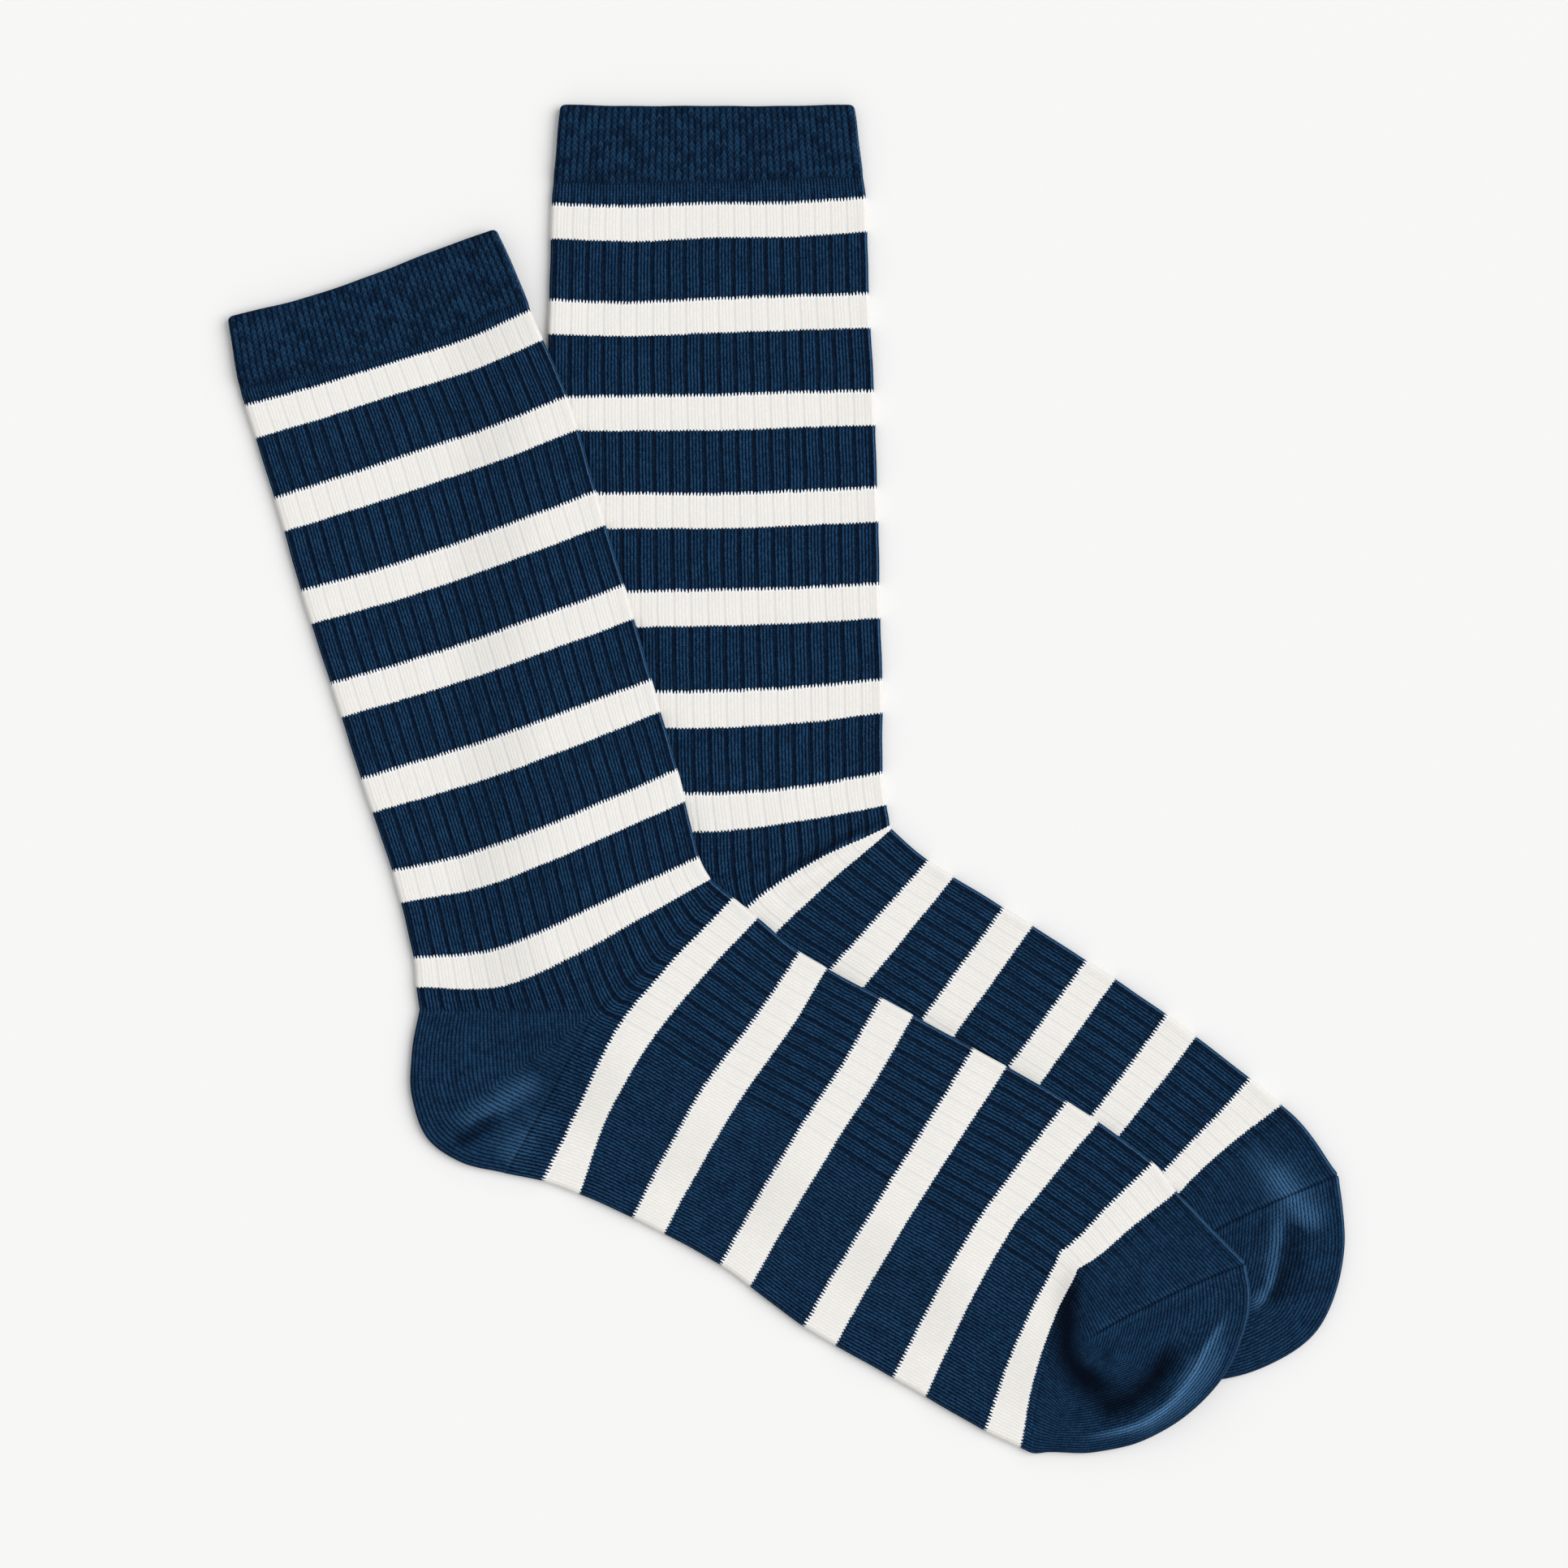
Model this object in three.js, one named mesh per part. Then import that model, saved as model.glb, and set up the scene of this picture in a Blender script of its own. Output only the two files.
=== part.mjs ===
// A pair of striped crew socks laid flat, the top sock lying across the under sock.
// Millimetres, +Z up, the surface they lie on at z = 0. X runs to the right and Y away from the viewer.
// Each sock is a knitted tube pressed flat: a welt cuff, a ribbed leg, a heel pocket, a foot that is
// ribbed over the instep and plain under the sole, and a toe pocket closed by a linked seam.
import * as THREE from "three";

// Cloth
const WALL = 1.2; // one layer of knit
const WELT_WALL = 1.6; // the cuff is knitted double and turned
const SLIT = 0.4; // what is left open inside the flattened tube
const SEAM_GAP = 0.3; // between neighbouring pieces
const TOE_GAP = 0.5; // wider, as the toe's first course bends more coarsely than the foot's last
const LIP_PINCH = 0.6; // how thin the cuff's turned edge is, as a share of the cuff

// Knitting, measured along the tube from the cuff's edge
const CUFF_END = 21.5;
const ANKLE = 193.4; // last course of the leg, where the heel pocket is put in
const LAST_STRIPE_END = 335.3;
const TOE_START = 337.5; // where the ribs stop and the plain toe begins

// Ribs on the face that shows. The underside rests flat and is left plain.
const LEG_RIBS = 20; // across one face, of five needles each
const RIB_GROOVE = 0.35; // depth
const RIB_SHOULDER = 0.5; // half the width of a groove

// How the top sock rides up over the under sock
const CLEARANCE = 0.35;
const RAMP_FAR = 28; // distance outside the under sock's edge where the rise begins
const RAMP_NEAR = 2; // and where it is complete

const NAVY = 0x14304f;
const knit = (colour) =>
  new THREE.MeshStandardMaterial({ color: colour, roughness: 0.9, metalness: 0 });

// One row for each measured course. front and back are the points where the course meets the two folded
// edges of the flattened tube. bow is how far it bends towards the toe at a quarter, half and three quarters
// of the way from front to back.
const TOP_SOCK = {
  name: "top_sock",
  // across a face with no ribs, and along the tube, close enough to follow the rise over the under sock
  plainStations: 16,
  legRings: [38, 51.5, 68, 84, 101.5, 118, 134, 151.5, 168, 176.5, 185.3],
  footRings: [201.5, 210.3, 226.5, 242, 258, 276.5, 292, 308, 326.5],
  leg: [
    { course: 0, front: [-76.8, 146.2], back: [-148.5, 122.7], bow: [0.5, 1.5, 1.5] },
    { course: CUFF_END, front: [-68.6, 127.5], back: [-145.2, 103.5], bow: [2.5, 3.2, 2] },
    { course: 26.5, front: [-67.7, 124.2], back: [-143.7, 99.1], bow: [1.8, 1.3, 1] },
    { course: 51.5, front: [-58, 101.5], back: [-136, 74.5], bow: [1.1, 0.7, 0.5] },
    { course: 76.5, front: [-50.4, 76.2], back: [-128.8, 49.9], bow: [0.9, 1.2, 1.1] },
    { course: 101.5, front: [-42.9, 51.4], back: [-121.1, 25.3], bow: [0.8, 1.2, 0.9] },
    { course: 126.5, front: [-35.7, 26.4], back: [-112.9, 0], bow: [0.7, 1.2, 0.7] },
    { course: 151.5, front: [-28.8, 2.6], back: [-104.7, -24.6], bow: [1.5, 2.6, 2.4] },
    { course: 176.5, front: [-23, -20.7], back: [-99, -47.5], bow: [1.9, 4.2, 5] },
    { course: 185.3, front: [-20, -26.4], back: [-98.2, -55.3], bow: [3.3, 6.5, 7.4] },
  ],
  ankle: [-17, -29], // the bend in front
  heelCorner: [-51, -62], // the inner end of the heel pocket, on each face
  // the heel's folded edge, from the end of the leg to the start of the sole
  heel: [[-97.4, -61.3], [-99.6, -73], [-99.6, -84], [-95.6, -95], [-87, -101.6], [-74.5, -104.9]],
  foot: [
    { course: 201.5, front: [-13.9, -31.5], back: [-64.5, -106.9], bow: [-4.1, -6.2, -3.3] },
    { course: 210.3, front: [-7.5, -36.7], back: [-55, -110.2], bow: [-4, -6.1, -5] },
    { course: 226.5, front: [3.6, -45.8], back: [-40.7, -116.6], bow: [-0.7, -2.4, -1.8] },
    { course: 251.5, front: [25.2, -57.9], back: [-17.4, -129.2], bow: [0.3, -0.7, -0.7] },
    { course: 276.5, front: [49.6, -71.3], back: [4.6, -145.4], bow: [0, -0.4, -0.3] },
    { course: 301.5, front: [74.4, -85.3], back: [28.4, -159.2], bow: [-2, -3.3, -2] },
    { course: 326.5, front: [97.1, -101.5], back: [52.8, -173.2], bow: [-4.8, -7, -4.8] },
    { course: LAST_STRIPE_END, front: [103.4, -109.1], back: [62.1, -177.6], bow: [-7, -10.6, -7.2] },
  ],
  // where the linked seam ends on each face, and the toe's folded edge from the sole round to the seam
  toeCorner: [79.2, -148.6],
  toe: [
    [70, -178.9], [82, -178.9], [94.5, -175.8], [106, -168.8], [116.2, -158.3], [121.8, -145.5],
    [123, -136], [121.9, -128.3],
  ],
  // soft ridges and troughs, each along an arc, with the width of its left and right flank
  folds: [
    { from: [86.5, -174.3], to: [116.5, -144.5], bend: -5, left: 2.2, right: 4, rise: 0.8 },
    { from: [92.1, -167.6], to: [109.2, -145.6], bend: -2.8, left: 3.5, right: 2.5, rise: -0.5 },
    { from: [77.2, -144], to: [82, -156.5], bend: -2.9, left: 2.8, right: 2, rise: 0.5 },
    { from: [-63.6, -78.6], to: [-88.7, -95], bend: -0.8, left: 3, right: 3, rise: 0.7 },
    { from: [-78, -90], to: [-88.5, -98], bend: 0, left: 2.2, right: 2.2, rise: -0.6 },
  ],
};

const UNDER_SOCK = {
  name: "under_sock",
  plainStations: 8,
  legRings: [51.5, 84, 118, 151.5, 168, 176.5, 185.3],
  footRings: [201.5, 210.3, 226.5, 251.5, 276.5, 301.5, 320],
  leg: [
    { course: 0, front: [18.3, 179.1], back: [-60.2, 179.1], bow: [0.3, 0.4, 0.3] },
    { course: CUFF_END, front: [20.6, 160], back: [-61.9, 158.2], bow: [0.4, 0.5, 0.4] },
    { course: 26.5, front: [21.3, 154.4], back: [-62.3, 152.5], bow: [1, 0.7, 0.9] },
    { course: 51.5, front: [22.1, 129], back: [-63, 127.2], bow: [0.4, 0.6, 1.2] },
    { course: 76.5, front: [23.4, 103.2], back: [-63.2, 101.5], bow: [0.2, 0.4, 0.3] },
    { course: 101.5, front: [24.3, 77.5], back: [-63, 75.8], bow: [0.7, 1, 0.5] },
    { course: 126.5, front: [24.9, 51.8], back: [-62.7, 49.9], bow: [0.6, 0.7, 0.6] },
    { course: 151.5, front: [25.6, 26.4], back: [-62.3, 23.3], bow: [1.2, 1.6, 0.9] },
    { course: 176.5, front: [25.8, 1.7], back: [-61.5, -3.2], bow: [2.6, 3.2, 1.6] },
    { course: 185.3, front: [26.7, -6.9], back: [-60.6, -12.8], bow: [2.4, 3.8, 1.9] },
  ],
  ankle: [27.3, -10.2],
  heelCorner: [-15.9, -26.5],
  heel: [[-61.8, -21], [-62.2, -34], [-59.5, -47], [-53.5, -59], [-45, -69], [-40.5, -73.5]],
  foot: [
    { course: 201.5, front: [27.6, -12.4], back: [-33.7, -78.8], bow: [-9, -13, -7] },
    { course: 210.3, front: [28, -13.2], back: [-26.4, -83.5], bow: [-4.6, -7.5, -5] },
    { course: 226.5, front: [37.7, -21.6], back: [-10.5, -89.8], bow: [-2.3, -4.5, -2.5] },
    { course: 251.5, front: [57.8, -34.1], back: [10.6, -103.2], bow: [-0.6, -1.2, -0.8] },
    { course: 276.5, front: [79.8, -48.2], back: [31.7, -116.6], bow: [-0.3, -0.6, -0.4] },
    { course: 301.5, front: [101.2, -62.6], back: [52.8, -130.3], bow: [-0.3, -0.8, -0.8] },
    { course: 326.5, front: [123.4, -79.5], back: [75, -147], bow: [-2.6, -5, -3.5] },
    { course: LAST_STRIPE_END, front: [131.4, -86.4], back: [83, -153.5], bow: [-5.9, -8.5, -6] },
  ],
  toeCorner: [104.7, -125.3],
  toe: [
    [92, -157.5], [104, -160.2], [116, -159.6], [129.1, -155.4], [140.9, -146.9], [146.8, -134],
    [148.6, -121], [146.8, -105.2],
  ],
  folds: [
    { from: [26, -10.5], to: [-8, -29], bend: 1.5, left: 2.4, right: 2.4, rise: 0.7 },
    { from: [24, -15.5], to: [-6, -33], bend: 1.5, left: 2, right: 2, rise: -0.5 },
    { from: [132.3, -117], to: [122.5, -142], bend: 3.2, left: 1.6, right: 2, rise: 0.6 },
    { from: [136, -116], to: [130, -140], bend: 1.8, left: 3, right: 2, rise: -0.7 },
    { from: [127, -101], to: [142.5, -121], bend: 0, left: 4, right: 4, rise: 0.8 },
    { from: [111.3, -109.7], to: [122.4, -115.3], bend: 0, left: 3, right: 3, rise: -0.3 },
  ],
};

const lerp = (a, b, t) => a + (b - a) * t;
const between = (p, q, t) => [lerp(p[0], q[0], t), lerp(p[1], q[1], t)];
const distance = (p, q) => Math.hypot(p[0] - q[0], p[1] - q[1]);
const smooth = (t) => {
  const s = Math.min(1, Math.max(0, t));
  return s * s * (3 - 2 * s);
};

// The value at `at` of a smooth curve through values[i] at rising stations[i], by cubic pieces whose slopes
// are those of the neighbouring chords.
function through(stations, values, at) {
  const last = stations.length - 1;
  let i = 0;
  while (i < last - 1 && at > stations[i + 1]) i++;
  const slope = (k) => {
    const lo = Math.max(0, k - 1);
    const hi = Math.min(last, k + 1);
    return (values[hi] - values[lo]) / (stations[hi] - stations[lo]);
  };
  const span = stations[i + 1] - stations[i];
  const t = (at - stations[i]) / span;
  const t2 = t * t;
  const t3 = t2 * t;
  return (
    (2 * t3 - 3 * t2 + 1) * values[i] +
    (t3 - 2 * t2 + t) * span * slope(i) +
    (3 * t2 - 2 * t3) * values[i + 1] +
    (t3 - t2) * span * slope(i + 1)
  );
}

// A smooth plane curve through points, from 0 at the first to 1 at the last, in step with the length.
function curveThrough(points) {
  const lengths = [0];
  points.slice(1).forEach((p, i) => lengths.push(lengths[i] + distance(points[i], p)));
  const share = lengths.map((l) => l / lengths[lengths.length - 1]);
  return (t) => [0, 1].map((k) => through(share, points.map((p) => p[k]), t));
}

// A course as a curve: from the front edge at w = 0 to the back edge at w = 1.
function courseLine({ course, front, back, bow }) {
  const length = distance(front, back);
  const toToe = [-(back[1] - front[1]) / length, (back[0] - front[0]) / length];
  const at = (w) => {
    const bent = through([0, 0.25, 0.5, 0.75, 1], [0, ...bow, 0], w);
    const p = between(front, back, w);
    return [p[0] + toToe[0] * bent, p[1] + toToe[1] * bent];
  };
  return { course, at };
}

// A stretch of tube as a surface in the plane: a smooth curve through the same w of every course.
function tubeThrough(lines) {
  const courses = lines.map((l) => l.course);
  return (course, w) => {
    const points = lines.map((l) => l.at(w));
    return [0, 1].map((k) => through(courses, points.map((p) => p[k]), course));
  };
}

// The flat shapes of one sock: its leg, foot, heel pocket and toe.
function layOut(sock) {
  // the leg ends and the foot starts on one line over the instep, and part behind it for the heel pocket
  const ankleLine = (back) => ({
    course: ANKLE,
    at: (w) =>
      w <= 0.5
        ? between(sock.ankle, sock.heelCorner, 2 * w)
        : between(sock.heelCorner, back, 2 * w - 1),
  });
  const legLines = [...sock.leg.map(courseLine), ankleLine(sock.heel[0])];
  const footLines = [ankleLine(sock.heel[sock.heel.length - 1]), ...sock.foot.map(courseLine)];
  const leg = tubeThrough(legLines);
  const foot = tubeThrough(footLines);
  const heelEdge = curveThrough(sock.heel);
  const toeEdge = curveThrough(sock.toe);
  const seamEnd = sock.toe[sock.toe.length - 1];
  const toeTurn = sock.toe[0];
  // the seam runs over the instep from its outer end to the corner; the sole's last full course faces it
  const seam = (w) => between(seamEnd, sock.toeCorner, 2 * w);
  const soleEnd = (w) => between(sock.toeCorner, toeTurn, 2 * w - 1);
  // t runs from the foot's end, less the gap, to the seam or to the sole's last full course
  const toe = (t, w) => {
    const start = foot(TOE_START, w);
    const end = w <= 0.5 ? seam(w) : soleEnd(w);
    return between(start, end, lerp(TOE_GAP / distance(start, end), 1, t));
  };
  return { leg, foot, heelEdge, toe, toeEdge };
}

// The outline of a sock laid flat, as a closed ring of points.
function outlineOf(shape) {
  const steps = (from, to, count) =>
    Array.from({ length: count + 1 }, (_, i) => lerp(from, to, i / count));
  return [
    ...steps(0, ANKLE, 24).map((c) => shape.leg(c, 0)),
    ...steps(ANKLE + 1, TOE_START, 20).map((c) => shape.foot(c, 0)),
    ...steps(1, 0, 16).map((t) => shape.toeEdge(t)),
    ...steps(TOE_START, ANKLE + 1, 20).map((c) => shape.foot(c, 1)),
    ...steps(1, 0, 12).map((t) => shape.heelEdge(t)),
    ...steps(ANKLE, 0, 24).map((c) => shape.leg(c, 1)),
  ];
}

// How far inside a closed outline a point lies; negative outside.
function depthInside(outline, [x, y]) {
  let nearest = Infinity;
  let inside = false;
  outline.forEach(([ax, ay], i) => {
    const [bx, by] = outline[(i + 1) % outline.length];
    const [dx, dy] = [bx - ax, by - ay];
    const along = ((x - ax) * dx + (y - ay) * dy) / (dx * dx + dy * dy || 1);
    const t = Math.min(1, Math.max(0, along));
    nearest = Math.min(nearest, Math.hypot(x - ax - t * dx, y - ay - t * dy));
    if (ay > y !== by > y && x < ax + ((y - ay) * dx) / dy) inside = !inside;
  });
  return inside ? nearest : -nearest;
}

// The height of a sock's soft folds at a point: each is a rounded bank along an arc, fading at its ends.
function foldHeight(folds, [x, y]) {
  return folds.reduce((sum, { from, to, bend, left, right, rise }) => {
    const length = distance(from, to);
    const [ux, uy] = [(to[0] - from[0]) / length, (to[1] - from[1]) / length];
    const t = ((x - from[0]) * ux + (y - from[1]) * uy) / length;
    const arc = 4 * bend * t * (1 - t);
    const off = (x - from[0]) * -uy + (y - from[1]) * ux - arc;
    const flank = off > 0 ? left : right;
    const ends = smooth(4 * t) * smooth(4 * (1 - t));
    return sum + rise * ends * Math.exp(-((off / flank) ** 2));
  }, 0);
}

// Half the thickness of a round fold at a distance from its edge.
const foldBulge = (fromEdge, radius) =>
  fromEdge >= radius ? radius : Math.sqrt(Math.max(0, radius ** 2 - (radius - fromEdge) ** 2));

const topShape = layOut(TOP_SOCK);
const underShape = layOut(UNDER_SOCK);
const underOutline = outlineOf(underShape);

// How high the top sock's underside rides at a point: on the surface, up a ramp, and over the under sock.
function ride(point) {
  const depth = depthInside(underOutline, point);
  const climb = smooth((depth + RAMP_FAR) / (RAMP_FAR - RAMP_NEAR));
  const ridge = Math.max(0, foldHeight(UNDER_SOCK.folds, point));
  return climb * (2 * WALL + SLIT + CLEARANCE + ridge);
}

// Across a tube, a station is a place on its ring: face 1 is the top and -1 the underside, w runs from the
// front edge to the back edge, and edge is the distance in from the nearer fold.
const FOLD_TURNS = [0, 45, 90].map(THREE.MathUtils.degToRad);
const roundFold = (radius, inset) =>
  FOLD_TURNS.map((turn) => inset + radius * (1 - Math.cos(turn)));

// The stations from one fold to the other on one face. inner ones are shares of the flat between the folds.
function faceStations(face, width, radius, inset, inner) {
  const near = roundFold(radius, inset);
  const flatFrom = (radius + inset) / width;
  const onFlat = ({ w, groove }) => ({
    face, w: lerp(flatFrom, 1 - flatFrom, w), edge: radius + inset, groove,
  });
  return [
    ...near.map((d) => ({ face, w: d / width, edge: d, groove: 0 })),
    ...inner.map(onFlat),
    ...near.reverse().map((d) => ({ face, w: 1 - d / width, edge: d, groove: 0 })),
  ];
}

const evenly = (count) =>
  Array.from({ length: count - 1 }, (_, i) => ({ w: (i + 1) / count, groove: 0 }));

// Ribs as grooves with a shoulder each side, up to a share of the width, and plain knit beyond it.
function ribStations(width, upTo) {
  const shoulder = RIB_SHOULDER / width;
  const ribbed = Array.from({ length: LEG_RIBS }, (_, i) => (i + 0.5) / LEG_RIBS)
    .filter((w) => w < upTo)
    .flatMap((w) => [
      { w: w - shoulder, groove: 0 },
      { w, groove: RIB_GROOVE },
      { w: w + shoulder, groove: 0 },
    ]);
  const plain = evenly(14).filter((s) => s.w > upTo);
  return [...ribbed, ...plain];
}

// The point in space of a station on the outside or inside of a wall. middle is half the flattened
// thickness, radius the half thickness of this skin, and inset the wall's share of the distance from the fold.
function skinPoint(sock, plane, station, middle, radius, inset) {
  const bulge = foldBulge(station.edge - inset, radius);
  const base = sock === TOP_SOCK ? ride(plane) : 0;
  const onTop = station.face > 0;
  const flat = smooth(station.edge / (2 * middle));
  const fold = onTop ? foldHeight(sock.folds, plane) * flat : 0;
  const raised = inset > 0 ? Math.max(0, fold) : fold - station.groove;
  return [plane[0], plane[1], base + middle + station.face * bulge + raised];
}

// Triangles between two lines of points of any count, matched by their own stations from 0 to 1.
function zip(lineA, stationsA, lineB, stationsB, out) {
  let i = 0;
  let j = 0;
  while (i < lineA.length - 1 || j < lineB.length - 1) {
    const nextA = i < lineA.length - 1 ? stationsA[i + 1] : Infinity;
    const nextB = j < lineB.length - 1 ? stationsB[j + 1] : Infinity;
    if (nextA <= nextB) {
      out.push([lineA[i], lineA[i + 1], lineB[j]]);
      i++;
    } else {
      out.push([lineA[i], lineB[j + 1], lineB[j]]);
      j++;
    }
  }
}

// Triangles over a grid of points. Facing turns with flip.
function coverGrid(rows, flip, out) {
  for (let r = 0; r < rows.length - 1; r++)
    for (let s = 0; s < rows[r].length - 1; s++) {
      const [a, b, c, d] = [rows[r][s], rows[r][s + 1], rows[r + 1][s + 1], rows[r + 1][s]];
      out.push(...(flip ? [[a, c, b], [a, d, c]] : [[a, b, c], [a, c, d]]));
    }
}

const samePoint = (p, q) => p.every((v, k) => Math.abs(v - q[k]) < 1e-4);

// A mesh of the triangles that have an area, with flat shading.
function meshOf(name, triangles) {
  const kept = triangles.filter(
    ([a, b, c]) => !samePoint(a, b) && !samePoint(b, c) && !samePoint(c, a),
  );
  const geometry = new THREE.BufferGeometry();
  geometry.setAttribute("position", new THREE.Float32BufferAttribute(kept.flat(2), 3));
  geometry.computeVertexNormals();
  const mesh = new THREE.Mesh(geometry, knit(NAVY));
  mesh.name = name;
  return mesh;
}

// The ring of stations round one skin of a tube: over the top from front to back, and home underneath.
function ring(width, radius, inset, topInner, underInner) {
  const over = faceStations(1, width, radius, inset, topInner);
  const under = faceStations(-1, width, radius, inset, underInner).reverse();
  return [...over.slice(0, -1), ...under.slice(0, -1), over[0]];
}

// How far round a ring each station is, from 0 to 1.
const turnOf = (station) => (station.face > 0 ? station.w : 2 - station.w) / 2;
const turns = (stations) => stations.map((s, i) => (i === stations.length - 1 ? 1 : turnOf(s)));

// A stretch of tube with open ends, as one wall. courses lists its rings, each with a pinch that thins the
// tube, and a shift along the tube that leaves the gap to its neighbour.
function tubePiece(sock, name, { surface, courses, wall, topStations }) {
  const middle = wall + SLIT / 2;
  const skin = (stationsFor, inner) =>
    courses.map(({ course, pinch = 1, shift = 0 }) => {
      const width = distance(surface(course, 0), surface(course, 1));
      const radius = inner ? SLIT / 2 : middle * pinch;
      const inset = inner ? wall * pinch : 0;
      const stations = stationsFor(width, radius, inset);
      const points = stations.map((s) => {
        const here = surface(course, s.w);
        const ahead = surface(course + 0.5, s.w);
        const reach = distance(here, ahead);
        const plane = between(here, ahead, shift / reach);
        return skinPoint(sock, plane, s, middle, radius, inset);
      });
      points[points.length - 1] = points[0];
      return { points, stations: turns(stations) };
    });
  const plain = evenly(sock.plainStations);
  const outer = skin((w, r, i) => ring(w, r, i, topStations(w), plain), false);
  const inner = skin((w, r, i) => ring(w, r, i, plain, plain), true);
  const triangles = [];
  coverGrid(outer.map((r) => r.points), false, triangles);
  coverGrid(inner.map((r) => r.points), true, triangles);
  const rim = (at, flip) => {
    const strip = [];
    zip(outer[at].points, outer[at].stations, inner[at].points, inner[at].stations, strip);
    triangles.push(...(flip ? strip.map(([a, b, c]) => [a, c, b]) : strip));
  };
  rim(0, true);
  rim(outer.length - 1, false);
  return meshOf(`${sock.name}_${name}`, triangles);
}

// Stations of a half ring that wraps round one fold, from the middle of the top face to the middle of the
// underside. reach is the distance from the middle to the fold.
function halfRing(reach, radius, inset, inner) {
  const flatTo = 1 - (radius + inset) / reach;
  const onFlat = (out) => ({ face: 0, out, edge: radius + inset, groove: 0 });
  const steps = [
    ...roundFold(radius, inset).map((d) => ({ out: 1 - d / reach, edge: d, groove: 0 })),
    ...inner.map((share) => onFlat(share * flatTo)),
    onFlat(0),
  ];
  const side = (face) => steps.map((s) => ({ ...s, face }));
  return [...side(1).reverse(), ...side(-1).slice(1)];
}

const HALF_SHARES = [0.83, 0.67, 0.5, 0.33, 0.17]; // of the way from the middle to the fold

// The heel pocket: a fan about its corner, from the end of the leg round to the start of the sole.
function heelPiece(sock, shape) {
  const middle = WALL + SLIT / 2;
  const [corner, edge] = [sock.heelCorner, shape.heelEdge];
  const towards = between(edge(0), edge(1), 0.5);
  const apex = between(corner, towards, (3 * SEAM_GAP) / distance(corner, towards));
  const fan = 10;
  const trim = SEAM_GAP / 60; // as a share of the folded edge's length
  const skin = (radius, inset) =>
    Array.from({ length: fan + 1 }, (_, i) => {
      const rim = edge(lerp(trim, 1 - trim, i / fan));
      return halfRing(distance(apex, rim), radius, inset, HALF_SHARES).map((s) =>
        skinPoint(sock, between(apex, rim, s.out), s, middle, radius, inset),
      );
    });
  return fanSolid(`${sock.name}_heel`, skin(middle, 0), skin(SLIT / 2, WALL));
}

// A wall between an outer and an inner grid of equal counts, closed along all four sides.
function fanSolid(name, outer, inner) {
  const triangles = [];
  coverGrid(outer, false, triangles);
  coverGrid(inner, true, triangles);
  const end = outer.length - 1;
  const side = outer[0].length - 1;
  coverGrid([outer[0], inner[0]], true, triangles);
  coverGrid([outer[end], inner[end]], false, triangles);
  coverGrid([outer.map((r) => r[0]), inner.map((r) => r[0])], false, triangles);
  coverGrid([outer.map((r) => r[side]), inner.map((r) => r[side])], true, triangles);
  return meshOf(name, triangles);
}

// The toe: the instep's half runs straight to the seam, and the sole's half turns about the corner and comes
// back up to the same seam.
function toePiece(sock, shape) {
  const middle = WALL + SLIT / 2;
  const approach = 3;
  const fan = 12;
  const corner = sock.toeCorner;
  const skin = (radius, inset) => {
    const place = (stations, planeAt) =>
      stations.map((s) => skinPoint(sock, planeAt(s.out), s, middle, radius, inset));
    const steps = Array.from({ length: approach + 1 }, (_, i) => i / approach);
    const half = (t, out, front) => shape.toe(t, front ? 0.5 - out / 2 : 0.5 + out / 2);
    const halfRow = (t, front) => {
      const reach = distance(half(t, 0, front), half(t, 1, front));
      return place(halfRing(reach, radius, inset, HALF_SHARES), (out) => half(t, out, front));
    };
    const instep = steps.map((t) => halfRow(t, true));
    const sole = steps.map((t) => halfRow(t, false));
    for (let i = 1; i <= fan; i++) {
      const rim = shape.toeEdge(i / fan);
      const stations = halfRing(distance(corner, rim), radius, inset, HALF_SHARES);
      sole.push(place(stations, (out) => between(corner, rim, out)));
    }
    // the two halves share the seam, so the sole's last row is the instep's last row
    sole[sole.length - 1] = instep[instep.length - 1];
    return { instep, sole };
  };
  const outer = skin(middle, 0);
  const inner = skin(SLIT / 2, WALL);
  const triangles = [];
  coverGrid(outer.instep, true, triangles);
  coverGrid(outer.sole, false, triangles);
  coverGrid(inner.instep, false, triangles);
  coverGrid(inner.sole, true, triangles);
  coverGrid([outer.instep[0], inner.instep[0]], false, triangles);
  coverGrid([outer.sole[0], inner.sole[0]], true, triangles);
  return meshOf(`${sock.name}_toe`, triangles);
}

const courseList = (list, first, last) =>
  list.map((course, i) => ({
    course,
    shift: i === 0 ? first : i === list.length - 1 ? -last : 0,
  }));

function makeSock(sock, shape) {
  const half = SEAM_GAP / 2;
  const plain = evenly(sock.plainStations);
  const cuffCourses = [
    { course: 0, pinch: LIP_PINCH },
    { course: 0.7, pinch: 0.9 },
    { course: 2 },
    { course: 12 },
    { course: CUFF_END, shift: -half },
  ];
  const legCourses = courseList([CUFF_END, ...sock.legRings, ANKLE], half, half);
  const footCourses = courseList([ANKLE, ...sock.footRings, TOE_START], half, 0);
  const group = new THREE.Group();
  group.add(
    tubePiece(sock, "cuff", {
      surface: shape.leg, courses: cuffCourses, wall: WELT_WALL, topStations: () => plain,
    }),
    tubePiece(sock, "leg", {
      surface: shape.leg, courses: legCourses, wall: WALL, topStations: (w) => ribStations(w, 1),
    }),
    heelPiece(sock, shape),
    tubePiece(sock, "foot", {
      surface: shape.foot, courses: footCourses, wall: WALL, topStations: (w) => ribStations(w, 0.5),
    }),
    toePiece(sock, shape),
  );
  return group;
}

const pair = new THREE.Group();
pair.add(makeSock(UNDER_SOCK, underShape), makeSock(TOP_SOCK, topShape));

export default pair;
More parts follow.
